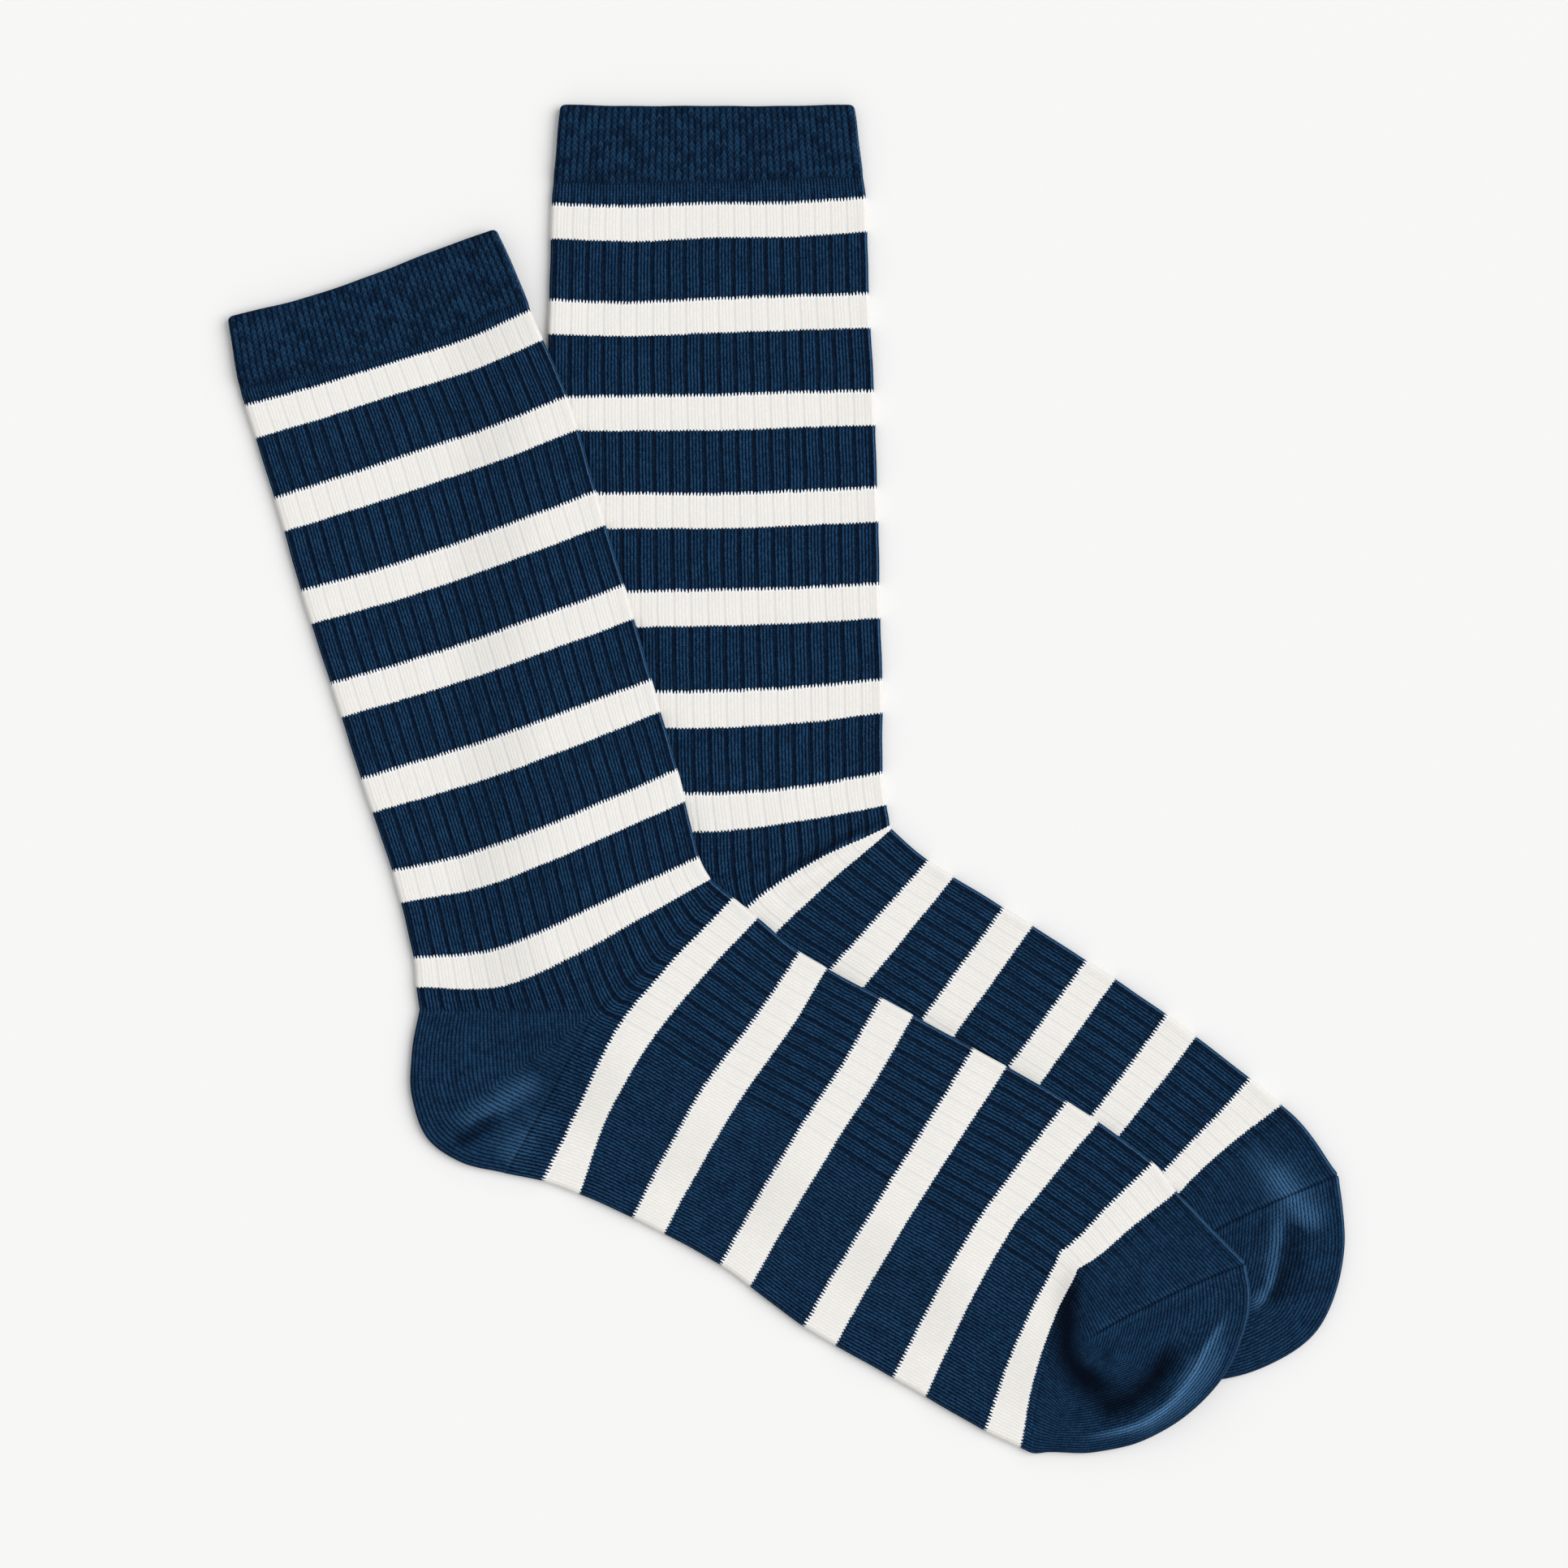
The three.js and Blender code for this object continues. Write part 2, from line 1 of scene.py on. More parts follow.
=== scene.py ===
"""A pair of striped crew socks pressed flat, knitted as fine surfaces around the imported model.

Each sock is a tube of knitting laid on its side. A place on it has two numbers: its course, in millimetres
along the tube from the cuff's edge, and its wale, which counts the columns of stitches round the tube from
the front fold, over the top face to the back fold at 100, and home underneath to 200.
"""

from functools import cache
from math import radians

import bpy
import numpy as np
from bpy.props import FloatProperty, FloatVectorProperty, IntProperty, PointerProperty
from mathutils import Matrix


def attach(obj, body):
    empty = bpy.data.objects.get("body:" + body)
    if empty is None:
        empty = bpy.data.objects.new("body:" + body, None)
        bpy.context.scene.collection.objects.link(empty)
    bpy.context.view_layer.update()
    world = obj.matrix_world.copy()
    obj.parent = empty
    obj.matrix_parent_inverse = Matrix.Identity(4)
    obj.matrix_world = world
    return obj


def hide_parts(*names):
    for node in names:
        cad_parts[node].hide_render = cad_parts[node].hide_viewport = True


bl_info = {
    "name": "Striped crew socks",
    "version": (1, 0, 0),
    "blender": (4, 5, 0),
    "location": "View3D > Sidebar > Socks",
    "description": "Knits a pair of ribbed, striped crew socks laid flat, and sets the stage for them",
    "category": "Add Mesh",
}

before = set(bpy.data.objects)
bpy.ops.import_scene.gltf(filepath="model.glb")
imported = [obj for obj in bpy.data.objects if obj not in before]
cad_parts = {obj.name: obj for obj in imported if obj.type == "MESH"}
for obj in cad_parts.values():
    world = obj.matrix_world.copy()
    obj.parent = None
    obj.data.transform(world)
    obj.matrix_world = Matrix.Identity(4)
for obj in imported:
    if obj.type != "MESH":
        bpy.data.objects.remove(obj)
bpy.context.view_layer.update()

MM = 0.001
FACE_WALES = 100  # columns of stitches across one face
RING_WALES = 2 * FACE_WALES
HALF_WALES = FACE_WALES // 2

# Courses, in millimetres along the tube
CUFF_END = 21.5
ANKLE = 193.4
TOE_START = 337.5
STRIPE_START = 26.5
STRIPE_PITCH = 25.0
STRIPE_WIDTH = 8.8

# How the top sock rides up over the under sock: distances outside the under sock's edge, in millimetres
RAMP_FAR = 28
RAMP_NEAR = 2
CLEARANCE = 0.35

COURSE_COLUMNS = ("course", "front_x", "front_y", "back_x", "back_y", "bow_1", "bow_2", "bow_3")
FOLD_COLUMNS = ("from_x", "from_y", "to_x", "to_y", "bend", "left", "right", "rise")


def table(columns, rows):
    """Rows of numbers as an array whose columns have names."""
    return np.array([tuple(row) for row in rows], dtype=[(name, float) for name in columns])


# One row for each measured course, in millimetres: where it meets the front and back folds, and how far it
# bows towards the toe at a quarter, half and three quarters of the way across.
TOP_SOCK = {
    "name": "top_sock",
    "leg": table(COURSE_COLUMNS, [
        (0, -76.8, 146.2, -148.5, 122.7, 0.5, 1.5, 1.5),
        (21.5, -68.6, 127.5, -145.2, 103.5, 2.5, 3.2, 2),
        (26.5, -67.7, 124.2, -143.7, 99.1, 1.8, 1.3, 1),
        (51.5, -58, 101.5, -136, 74.5, 1.1, 0.7, 0.5),
        (76.5, -50.4, 76.2, -128.8, 49.9, 0.9, 1.2, 1.1),
        (101.5, -42.9, 51.4, -121.1, 25.3, 0.8, 1.2, 0.9),
        (126.5, -35.7, 26.4, -112.9, 0, 0.7, 1.2, 0.7),
        (151.5, -28.8, 2.6, -104.7, -24.6, 1.5, 2.6, 2.4),
        (176.5, -23, -20.7, -99, -47.5, 1.9, 4.2, 5),
        (185.3, -20, -26.4, -98.2, -55.3, 3.3, 6.5, 7.4),
    ]),
    "ankle": (-17, -29),
    "heel_corner": (-51, -62),
    "heel": ((-97.4, -61.3), (-99.6, -73), (-99.6, -84), (-95.6, -95), (-87, -101.6), (-74.5, -104.9)),
    "foot": table(COURSE_COLUMNS, [
        (201.5, -13.9, -31.5, -64.5, -106.9, -4.1, -6.2, -3.3),
        (210.3, -7.5, -36.7, -55, -110.2, -4, -6.1, -5),
        (226.5, 3.6, -45.8, -40.7, -116.6, -0.7, -2.4, -1.8),
        (251.5, 25.2, -57.9, -17.4, -129.2, 0.3, -0.7, -0.7),
        (276.5, 49.6, -71.3, 4.6, -145.4, 0, -0.4, -0.3),
        (301.5, 74.4, -85.3, 28.4, -159.2, -2, -3.3, -2),
        (326.5, 97.1, -101.5, 52.8, -173.2, -4.8, -7, -4.8),
        (335.3, 103.4, -109.1, 62.1, -177.6, -7, -10.6, -7.2),
    ]),
    "toe_corner": (79.2, -148.6),
    "toe": (
        (70, -178.9), (82, -178.9), (94.5, -175.8), (106, -168.8), (116.2, -158.3), (121.8, -145.5),
        (123, -136), (121.9, -128.3),
    ),
    "folds": table(FOLD_COLUMNS, [
        (86.5, -174.3, 116.5, -144.5, -5, 2.2, 4, 0.8),
        (92.1, -167.6, 109.2, -145.6, -2.8, 3.5, 2.5, -0.5),
        (77.2, -144, 82, -156.5, -2.9, 2.8, 2, 0.5),
        (-63.6, -78.6, -88.7, -95, -0.8, 3, 3, 0.7),
        (-78, -90, -88.5, -98, 0, 2.2, 2.2, -0.6),
        # smaller ones, in this scene alone
        (96.5, -155.5, 103.5, -161.5, 0, 1.3, 1.3, -0.35),
        (84, -149, 86.5, -156, -1, 2, 2, -0.35),
        (-68, -92.5, -76.5, -101.5, 0, 4.2, 4.2, 0.32),
        (-97, -63.2, -89, -66.8, 0, 1.3, 1.3, -0.4),
        (-92.5, -73, -87, -81.5, 0.5, 2, 2, -0.35),
    ]),
    # the path of each, its widths to the left and right of it, and its light, above or below zero
    "creases": (
        (((118, -139.3), (114.6, -145.8), (111.3, -150), (108.1, -156.3), (103.8, -162.7),
          (99.6, -166.8), (94.4, -170.5), (86.5, -173.3), (77, -175)), 1.2, 0.7, 0.85),
        (((108.4, -150.3), (106.2, -156), (99.6, -162.8)), 2.4, 2.4, 0.4),
        (((104, -147), (99, -156.7), (93.8, -162.3), (88, -166.2), (78.5, -168.4)), 3.2, 3, -1.05),
        (((75.4, -125), (74.4, -138.2), (74.4, -149), (77.2, -156.6), (84.5, -162), (92, -164)),
         3.6, 4.2, -1.25),
        (((-74.5, -89), (-82, -93.6), (-89.5, -98)), 1.6, 2, -0.5),
        (((-63, -88), (-70.5, -96.5), (-76, -103.5)), 3.4, 4, 0.12),
    ),
    "kinks": {326.5: -1.8, 335.3: -2.2},
}

UNDER_SOCK = {
    "name": "under_sock",
    "leg": table(COURSE_COLUMNS, [
        (0, 18.3, 179.1, -60.2, 179.1, 0.3, 0.4, 0.3),
        (21.5, 20.6, 160, -61.9, 158.2, 0.4, 0.5, 0.4),
        (26.5, 21.3, 154.4, -62.3, 152.5, 1, 0.7, 0.9),
        (51.5, 22.1, 129, -63, 127.2, 0.4, 0.6, 1.2),
        (76.5, 23.4, 103.2, -63.2, 101.5, 0.2, 0.4, 0.3),
        (101.5, 24.3, 77.5, -63, 75.8, 0.7, 1, 0.5),
        (126.5, 24.9, 51.8, -62.7, 49.9, 0.6, 0.7, 0.6),
        (151.5, 25.6, 26.4, -62.3, 23.3, 1.2, 1.6, 0.9),
        (176.5, 25.8, 1.7, -61.5, -3.2, 2.6, 3.2, 1.6),
        (185.3, 26.7, -6.9, -60.6, -12.8, 2.4, 3.8, 1.9),
    ]),
    "ankle": (27.3, -10.2),
    "heel_corner": (-15.9, -26.5),
    "heel": ((-61.8, -21), (-62.2, -34), (-59.5, -47), (-53.5, -59), (-45, -69), (-40.5, -73.5)),
    "foot": table(COURSE_COLUMNS, [
        (201.5, 27.6, -12.4, -33.7, -78.8, -9, -13, -7),
        (210.3, 28, -13.2, -26.4, -83.5, -4.6, -7.5, -5),
        (226.5, 37.7, -21.6, -10.5, -89.8, -2.3, -4.5, -2.5),
        (251.5, 57.8, -34.1, 10.6, -103.2, -0.6, -1.2, -0.8),
        (276.5, 79.8, -48.2, 31.7, -116.6, -0.3, -0.6, -0.4),
        (301.5, 101.2, -62.6, 52.8, -130.3, -0.3, -0.8, -0.8),
        (326.5, 123.4, -79.5, 75, -147, -2.6, -5, -3.5),
        (335.3, 131.4, -86.4, 83, -153.5, -5.9, -8.5, -6),
    ]),
    "toe_corner": (104.7, -125.3),
    "toe": (
        (92, -157.5), (104, -160.2), (116, -159.6), (129.1, -155.4), (140.9, -146.9), (146.8, -134),
        (148.6, -121), (146.8, -105.2),
    ),
    "folds": table(FOLD_COLUMNS, [
        (26, -10.5, -8, -29, 1.5, 2.4, 2.4, 0.7),
        (24, -15.5, -6, -33, 1.5, 2, 2, -0.5),
        (132.3, -117, 122.5, -142, 3.2, 1.6, 2, 0.6),
        (136, -116, 130, -140, 1.8, 3, 2, -0.7),
        (127, -101, 142.5, -121, 0, 4, 4, 0.8),
        (111.3, -109.7, 122.4, -115.3, 0, 3, 3, -0.3),
        # smaller ones, in this scene alone
        (124.5, -131.5, 128.5, -138.5, 0, 1.6, 1.6, -0.4),
    ]),
    "creases": (
        (((27.5, -10.5), (17.6, -14.6), (9, -19.5), (1.4, -23.8), (-9, -30.5)), 0.8, 1.2, -0.8),
        (((132, -112), (129.5, -125.3), (128.9, -131.3), (126.8, -136.8), (120, -143)), 1.5, 1.8, 0.38),
        (((134.2, -117), (132, -127.4), (130.6, -133.9), (127, -142)), 2.2, 1.2, -0.8),
        (((121, -96), (129.5, -106), (134.5, -112.8), (143, -121)), 2.8, 2.8, 0.2),
    ),
    "kinks": {},
}

# Slow waves that keep the cloth from lying perfectly even: length in millimetres, direction in degrees,
# phase in turns.
WAVES = table(("length", "direction", "phase"), [
    (61, 12, 0.1), (43, 74, 0.55), (29, 131, 0.3), (23, 38, 0.8), (17, 160, 0.45), (13, 97, 0.05),
])


# The properties that a user would change


def length(name, description, millimetres):
    return FloatProperty(name=name, description=description, default=millimetres * MM, unit="LENGTH")


def paint(name, description, *rgb):
    return FloatVectorProperty(
        name=name, description=description, subtype="COLOR", size=3, min=0, max=1, default=rgb)


class SockKnit(bpy.types.PropertyGroup):
    wall: length("Cloth", "Thickness of one layer of knitting", 1.2)
    welt_wall: length("Welt", "Thickness of the cuff's double layer", 1.6)
    slit: length("Slit", "Space left inside the flattened tube", 0.4)
    rib_wales: IntProperty(
        name="Wales per rib", description="Stitches from one groove to the next", default=5, min=2)
    rib_depth: length("Rib depth", "How far the grooves between ribs sink", 0.2)
    wale_depth: length("Wale depth", "How far a single column of stitches stands up", 0.06)
    stripe_rise: length("Stripe rise", "How far the thicker cream yarn stands up", 0.1)
    braids: IntProperty(
        name="Braids", description="Columns of braid across one face of the cuff", default=48, min=8)
    braid_depth: length("Braid depth", "Relief of the cuff's braid stitch", 0.16)
    row_step: length("Row step", "Spacing of the surface's rows along the tube", 1.35)


# Each yarn has a lit colour for the crests of its stitches and a painted shade for the hollows between
class SockColours(bpy.types.PropertyGroup):
    navy: paint("Navy", "Crests of the navy stitches", 0.0125, 0.054, 0.126)
    navy_shade: paint("Navy shade", "Hollows between the navy stitches", 0.0003, 0.002, 0.009)
    # a painted highlight along the crests of folds
    navy_fold_highlight: paint("Navy crest", "Fuzz that catches the light along folds", 0.070, 0.180, 0.350)
    cream: paint("Cream", "Crests of the cream stitches", 0.802, 0.785, 0.748)
    cream_shade: paint("Cream shade", "Hollows between the cream stitches", 0.700, 0.684, 0.655)


class SockStage(bpy.types.PropertyGroup):
    floor: paint("Floor", "Colour of the floor", 0.80, 0.80, 0.80)
    sky: FloatProperty(name="Sky", description="Strength of the light from all round", default=0.62)
    key: FloatProperty(
        name="Key light", description="Strength of the soft light from the right", default=2.36)
    softness: FloatProperty(
        name="Softness", description="Width of the light from the right, in degrees", default=50)
    camera_height: length("Camera height", "Height of the camera above the floor", 1160)


# The shape of a sock laid flat, in millimetres


def through(stations, values, at):
    """Values at the places `at` of a smooth curve through values[i] at stations[i].

    Between two stations it is the cubic whose slopes there are those of the neighbouring chords.
    """
    stations, values, at = np.asarray(stations, float), np.asarray(values, float), np.asarray(at, float)
    last = len(stations) - 1
    ahead = np.minimum(np.arange(last + 1) + 1, last)
    behind = np.maximum(np.arange(last + 1) - 1, 0)
    spread = (...,) + (None,) * (values.ndim - 1)
    slopes = (values[ahead] - values[behind]) / (stations[ahead] - stations[behind])[spread]
    i = np.clip(np.searchsorted(stations, at, side="right") - 1, 0, last - 1)
    span = stations[i + 1] - stations[i]
    t = (at - stations[i]) / span
    t, span = t[spread], span[spread]
    return (
        (2 * t**3 - 3 * t**2 + 1) * values[i]
        + (t**3 - 2 * t**2 + t) * span * slopes[i]
        + (3 * t**2 - 2 * t**3) * values[i + 1]
        + (t**3 - t**2) * span * slopes[i + 1]
    )


def smooth(t):
    """0 below 0, 1 above 1, and 3t² - 2t³ between."""
    t = np.clip(t, 0, 1)
    return t * t * (3 - 2 * t)


def between(p, q, t):
    """The point a share t of the way from p to q."""
    p, q = np.asarray(p, float), np.asarray(q, float)
    return p + (q - p) * t[..., None]


def size_of(vector):
    return np.linalg.norm(vector, axis=-1)


def curve_through(points):
    """A smooth curve through points, as a function of the share of its length."""
    points = np.array(points, float)
    along = np.concatenate([[0], np.cumsum(size_of(np.diff(points, axis=0)))])
    return lambda share: through(along / along[-1], points, share)


def course_line(row, kink=0):
    """A measured course as a function of w: the chord from front to back, plus its bow across the chord.

    A kink adds kink * exp(-|w - KINK_AT| / KINK_WIDTH) to the bow, where the cloth bends sharply.
    """
    front = np.array([row["front_x"], row["front_y"]])
    back = np.array([row["back_x"], row["back_y"]])
    chord = (back - front) / size_of(back - front)
    to_toe = np.array([-chord[1], chord[0]])
    bows = [0, row["bow_1"], row["bow_2"], row["bow_3"], 0]

    def at(w):
        sharp = kink * np.exp(-np.abs(w - KINK_AT) / KINK_WIDTH)
        bow = through([0, 0.25, 0.5, 0.75, 1], bows, w) + sharp
        return between(front, back, w) + bow[..., None] * to_toe
    return at


def bent_line(front, corner, back):
    """A course that runs straight from the front to a corner half way across, and straight to the back."""
    def at(w):
        first = between(front, corner, 2 * w)
        second = between(corner, back, 2 * w - 1)
        return np.where((w <= 0.5)[..., None], first, second)
    return at


def tube_through(courses, lines):
    """The flat tube as a function of course (rows) and w (rows by columns).

    It is the smooth curve, along the tube, through the points that have the same w on every line.
    """
    def at(course, w):
        weights = through(courses, np.eye(len(courses)), course)
        return sum(weights[:, k, None, None] * line(w) for k, line in enumerate(lines))
    return at


def joined_in_front(alone, joined):
    """A tube that follows one form behind the heel pocket and another, joined on, in front of it."""
    def at(course, w):
        front = smooth((0.56 - w) / 0.12)[..., None]
        return alone(course, w) * (1 - front) + joined(course, w) * front
    return at


def pocket(corner, edge, gore, sharp):
    """A heel or toe pocket: t turns about its corner, and out runs from the corner to the folded edge.

    Up to the share `sharp` of the way out each wale is two straight runs that meet on the gore line. At
    the folded edge it follows that edge, and between them the two forms are blended.
    """
    def at(t, out):
        ends = [np.asarray(edge(np.array([share])))[0] for share in (0.0, gore, 1.0)]
        turn = t[:, None] + 0 * out
        first = between(ends[0], ends[1], turn / gore)
        second = between(ends[1], ends[2], (turn - gore) / (1 - gore))
        straight = np.where((turn <= gore)[..., None], first, second)
        rim = between(straight, edge(t)[:, None, :], smooth((out - sharp) / (0.95 - sharp)))
        return between(np.array(corner, float), rim, out)
    return at


def lay_out(sock):
    """The flat surfaces of one sock, each a function of a place along it and across it."""
    leg_courses = [*sock["leg"]["course"], ANKLE]
    foot_courses = [ANKLE, *sock["foot"]["course"]]
    ankle, corner = sock["ankle"], sock["heel_corner"]
    leg_lines = [*map(course_line, sock["leg"]), bent_line(ankle, corner, sock["heel"][0])]
    kinks = [sock["kinks"].get(float(course), 0) for course in sock["foot"]["course"]]
    foot_lines = [bent_line(ankle, corner, sock["heel"][-1]), *map(course_line, sock["foot"], kinks)]
    leg = joined_in_front(
        tube_through(leg_courses, leg_lines),
        tube_through([*leg_courses, foot_courses[1]], [*leg_lines, foot_lines[1]]))
    foot = joined_in_front(
        tube_through(foot_courses, foot_lines),
        tube_through([leg_courses[-2], *foot_courses], [leg_lines[-2], *foot_lines]))
    toe_end = bent_line(sock["toe"][-1], sock["toe_corner"], sock["toe"][0])
    toe_pocket = pocket(sock["toe_corner"], curve_through(sock["toe"]), TOE_GORE, 0.3)
    seam = np.array(sock["toe"][-1], float) - sock["toe_corner"]
    to_instep = SEAM_BOW * np.array([-seam[1], seam[0]]) / size_of(seam)

    def seam_bow(out, share):
        """The seam's bow towards the instep: 4 out (1 - out) of it along the seam, times share²."""
        return (4 * out * (1 - out) * share**2)[..., None] * to_instep

    def toe_start(t, w):
        """From the foot's last course, leaving it in the foot's own direction, to the seam or the sole."""
        course = np.full(len(t), TOE_START)
        start, end = foot(course, w), toe_end(w)
        heading = (start - foot(course - 2, w)) / 2
        onward = heading * size_of(end - start)[..., None] - (end - start)
        t = t[:, None] + 0 * w
        return between(start, end, t) + onward * (t * (1 - t) ** 2)[..., None]

    def instep(t, out):
        return toe_start(t, 0.5 - out / 2) + seam_bow(out, t[:, None])

    def turned(t, out):
        return toe_pocket(t, out) + seam_bow(out, np.maximum(4 * t[:, None] - 3, 0))

    return {
        "leg": leg,
        "foot": foot,
        "heel": pocket(corner, curve_through(sock["heel"]), HEEL_GORE, 0.45),
        "toe_instep": instep,
        "toe_sole": lambda t, out: toe_start(t, 0.5 + out / 2),
        "toe": turned,
    }


KINK_AT, KINK_WIDTH = 0.39, 0.06

# how far round a pocket's folded edge its gore line comes out
HEEL_GORE = 0.6
TOE_GORE = 0.53
SEAM_BOW = 1.2  # how far the toe's seam bows towards the instep, in millimetres


def outline_of(sock, layout):
    """The outline of a sock laid flat, as a closed ring of points."""
    def side(surface, first, last, w):
        course = np.linspace(first, last, 25)
        return surface(course, np.full((25, 1), w))[:, 0]
    rim = np.linspace(0, 1, 17)
    return np.concatenate([
        side(layout["leg"], 0, ANKLE, 0.0),
        side(layout["foot"], ANKLE + 1, TOE_START, 0.0),
        curve_through(sock["toe"])(rim)[::-1],
        side(layout["foot"], TOE_START, ANKLE + 1, 1.0),
        curve_through(sock["heel"])(rim)[::-1],
        side(layout["leg"], ANKLE, 0, 1.0),
    ])


def depth_inside(ring, xy):
    """How far inside a closed ring of points each place lies, negative outside.

    The distance is to the nearest of the ring's sides, and the sign comes from counting the sides that a
    line from the place crosses.
    """
    flat = xy.reshape(-1, 2)
    nearest = np.full(len(flat), np.inf)
    inside = np.zeros(len(flat), bool)
    for start, end in zip(ring, np.roll(ring, -1, axis=0)):
        side = end - start
        off = flat - start
        along = np.clip(off @ side / max(side @ side, 1e-12), 0, 1)
        nearest = np.minimum(nearest, size_of(off - along[:, None] * side))
        if side[1]:
            crossed = (start[1] > flat[:, 1]) != (end[1] > flat[:, 1])
            inside ^= crossed & (off[:, 0] < off[:, 1] * side[0] / side[1])
    return np.where(inside, nearest, -nearest).reshape(xy.shape[:-1])


def fold_height(folds, xy):
    """The height of soft folds: each is rise * exp(-(off/width)²) across an arc, fading at its two ends.

    The two sides of a fold have their own widths.
    """
    height = np.zeros(xy.shape[:-1])
    for fold in folds:
        start = np.array([fold["from_x"], fold["from_y"]])
        along = np.array([fold["to_x"], fold["to_y"]]) - start
        length = size_of(along)
        along = along / length
        t = (xy - start) @ along / length
        arc = 4 * fold["bend"] * t * (1 - t)
        off = (xy - start) @ np.array([-along[1], along[0]]) - arc
        width = np.where(off > 0, fold["left"], fold["right"])
        height += fold["rise"] * smooth(4 * t) * smooth(4 * (1 - t)) * np.exp(-((off / width) ** 2))
    return height


def crease_light(creases, xy):
    """The light of fine creases: rise * exp(-(off/width)²), off being the distance to a crease's path.

    The path is a smooth curve through a few points, and the crease fades along its first and last quarter.
    """
    height = np.zeros(xy.shape[:-1])
    for points, left, right, rise in creases:
        path = curve_through(points)(np.linspace(0, 1, 13))
        nearest = np.full(height.shape, np.inf)
        side = np.zeros(height.shape)
        share = np.zeros(height.shape)
        for step, (start, end) in enumerate(zip(path[:-1], path[1:])):
            run = end - start
            off = xy - start
            along = np.clip(off @ run / (run @ run), 0, 1)
            distance = size_of(off - along[..., None] * run)
            closer = distance < nearest
            nearest = np.where(closer, distance, nearest)
            side = np.where(closer, off[..., 1] * run[0] - off[..., 0] * run[1], side)
            share = np.where(closer, (step + along) / 12, share)
        width = np.where(side > 0, left, right)
        height += rise * smooth(4 * share) * smooth(4 * (1 - share)) * np.exp(-((nearest / width) ** 2))
    return height


def waves(xy, first):
    """The sum of slow sine waves, each its own length and direction, from -1 to 1 or so."""
    total = np.zeros(xy.shape[:-1])
    for wave in WAVES[first::2]:
        heading = np.radians(wave["direction"])
        along = xy @ np.array([np.cos(heading), np.sin(heading)])
        total += np.sin(2 * np.pi * (along / wave["length"] + wave["phase"])) / 3
    return total


class Sock:
    """One sock laid flat, with what its surfaces need: thicknesses, ground and folds."""

    def __init__(self, sock, knit, ground=None):
        self.name = sock["name"]
        self.sock = sock
        self.layout = lay_out(sock)
        self.ground = ground
        self.wall = knit.wall / MM
        self.slit = knit.slit / MM
        self.radius = self.wall + self.slit / 2

    def base(self, xy):
        """The height that the underside rides at: on the floor, up a smooth ramp, over the other sock."""
        if self.ground is None:
            return np.zeros(xy.shape[:-1])
        ring, lift, folds = self.ground
        climb = smooth((depth_inside(ring, xy) + RAMP_FAR) / (RAMP_FAR - RAMP_NEAR))
        return climb * (lift + np.maximum(0, fold_height(folds, xy)))

    def skin(self, surface, place, wale, radius, middle, relief, whole, rim=1.0):
        """One skin of the flattened tube, rows by columns, in millimetres.

        Across the tube a skin goes round a half circle of its radius at each fold and lies flat between.
        wale gives the column. On a whole tube the surface runs from fold to fold, and on a half one from
        its corner to the one fold. relief moves the skin out along its normal. The painted light and shade
        of the folds and creases comes back with the points, and rim times the painted highlight and painted
        shade line along the fold in front.
        """
        radius, middle = radius[:, None], middle[:, None]
        inset = middle - radius
        rows = len(place)
        ends = surface(place, np.tile([0.0, 1.0], (rows, 1)))
        front, back = ends[:, :1], ends[:, 1:]
        width = size_of(back - front)
        top = wale <= FACE_WALES
        if whole:
            share = np.where(top, wale, RING_WALES - wale) / FACE_WALES
            length = width - 2 * inset + (np.pi - 2) * radius
            arc = np.minimum(share, 1 - share) * length
        else:
            share = np.abs(wale - FACE_WALES) / HALF_WALES
            length = width - inset + (np.pi / 2 - 1) * radius
            arc = share * length
        turn = np.minimum(arc / radius, np.pi / 2)
        in_from_fold = inset + radius * (1 - np.cos(turn)) + np.maximum(arc - radius * np.pi / 2, 0)
        near_front = (share <= 0.5) if whole else np.zeros(np.shape(share), bool)
        w = np.where(near_front, in_from_fold / width, 1 - in_from_fold / width)
        xy = surface(place, w)
        outward = np.where(near_front[..., None], front - back, back - front) / width[..., None]
        base = self.base(xy)
        flat = smooth(arc / (3 * self.radius))
        fold = np.where(top, fold_height(self.sock["folds"], xy) * flat, 0)
        crease = np.where(top, crease_light(self.sock["creases"], xy) * flat, 0) if relief.any() else 0
        drape = np.maximum(fold + CREASE_HEIGHT * crease + WAVE_HEIGHT * waves(xy, 0) * flat, -LOWEST_DENT)
        # painted highlight along the front fold's rim and a painted shade line inside it
        edge = rim * np.where(top & near_front if whole else top, edge_painted_light(in_from_fold), 0)
        drape = np.where(radius < self.wall, np.maximum(0, drape), drape)
        xy = xy + outward * (relief * np.cos(turn))[..., None]
        xy = xy + WAVE_SHIFT * np.stack([waves(xy, 1), waves(xy[..., ::-1], 1)], axis=-1)
        height = middle + np.where(top, 1, -1) * np.sin(turn) * (radius + relief)
        height = height + base + np.where(top, drape, 0)
        points = np.concatenate([xy, np.maximum(height, FLOOR_GAP)[..., None]], axis=-1)
        if whole:
            points[:, -1] = points[:, 0]
        # painted light and shade: half each fold's height, the creases' light and the rim's painted
        # highlight
        return points, fold / 2 + crease + edge + 0 * relief

    def skins(self, surface, outer, inner, wale, relief, whole, rim=1.0):
        """The outer and inner skins at their places along the surface, and the outer one's painted light
        and shade.
        """
        def skin(place, radius, relief, rim):
            row = np.ones(len(place))
            return self.skin(surface, place, wale, radius * row, self.radius * row, relief, whole, rim)
        points, lift = skin(outer, self.radius, relief, rim)
        return points, skin(inner, self.slit / 2, np.zeros((1, len(wale))), 0)[0], lift


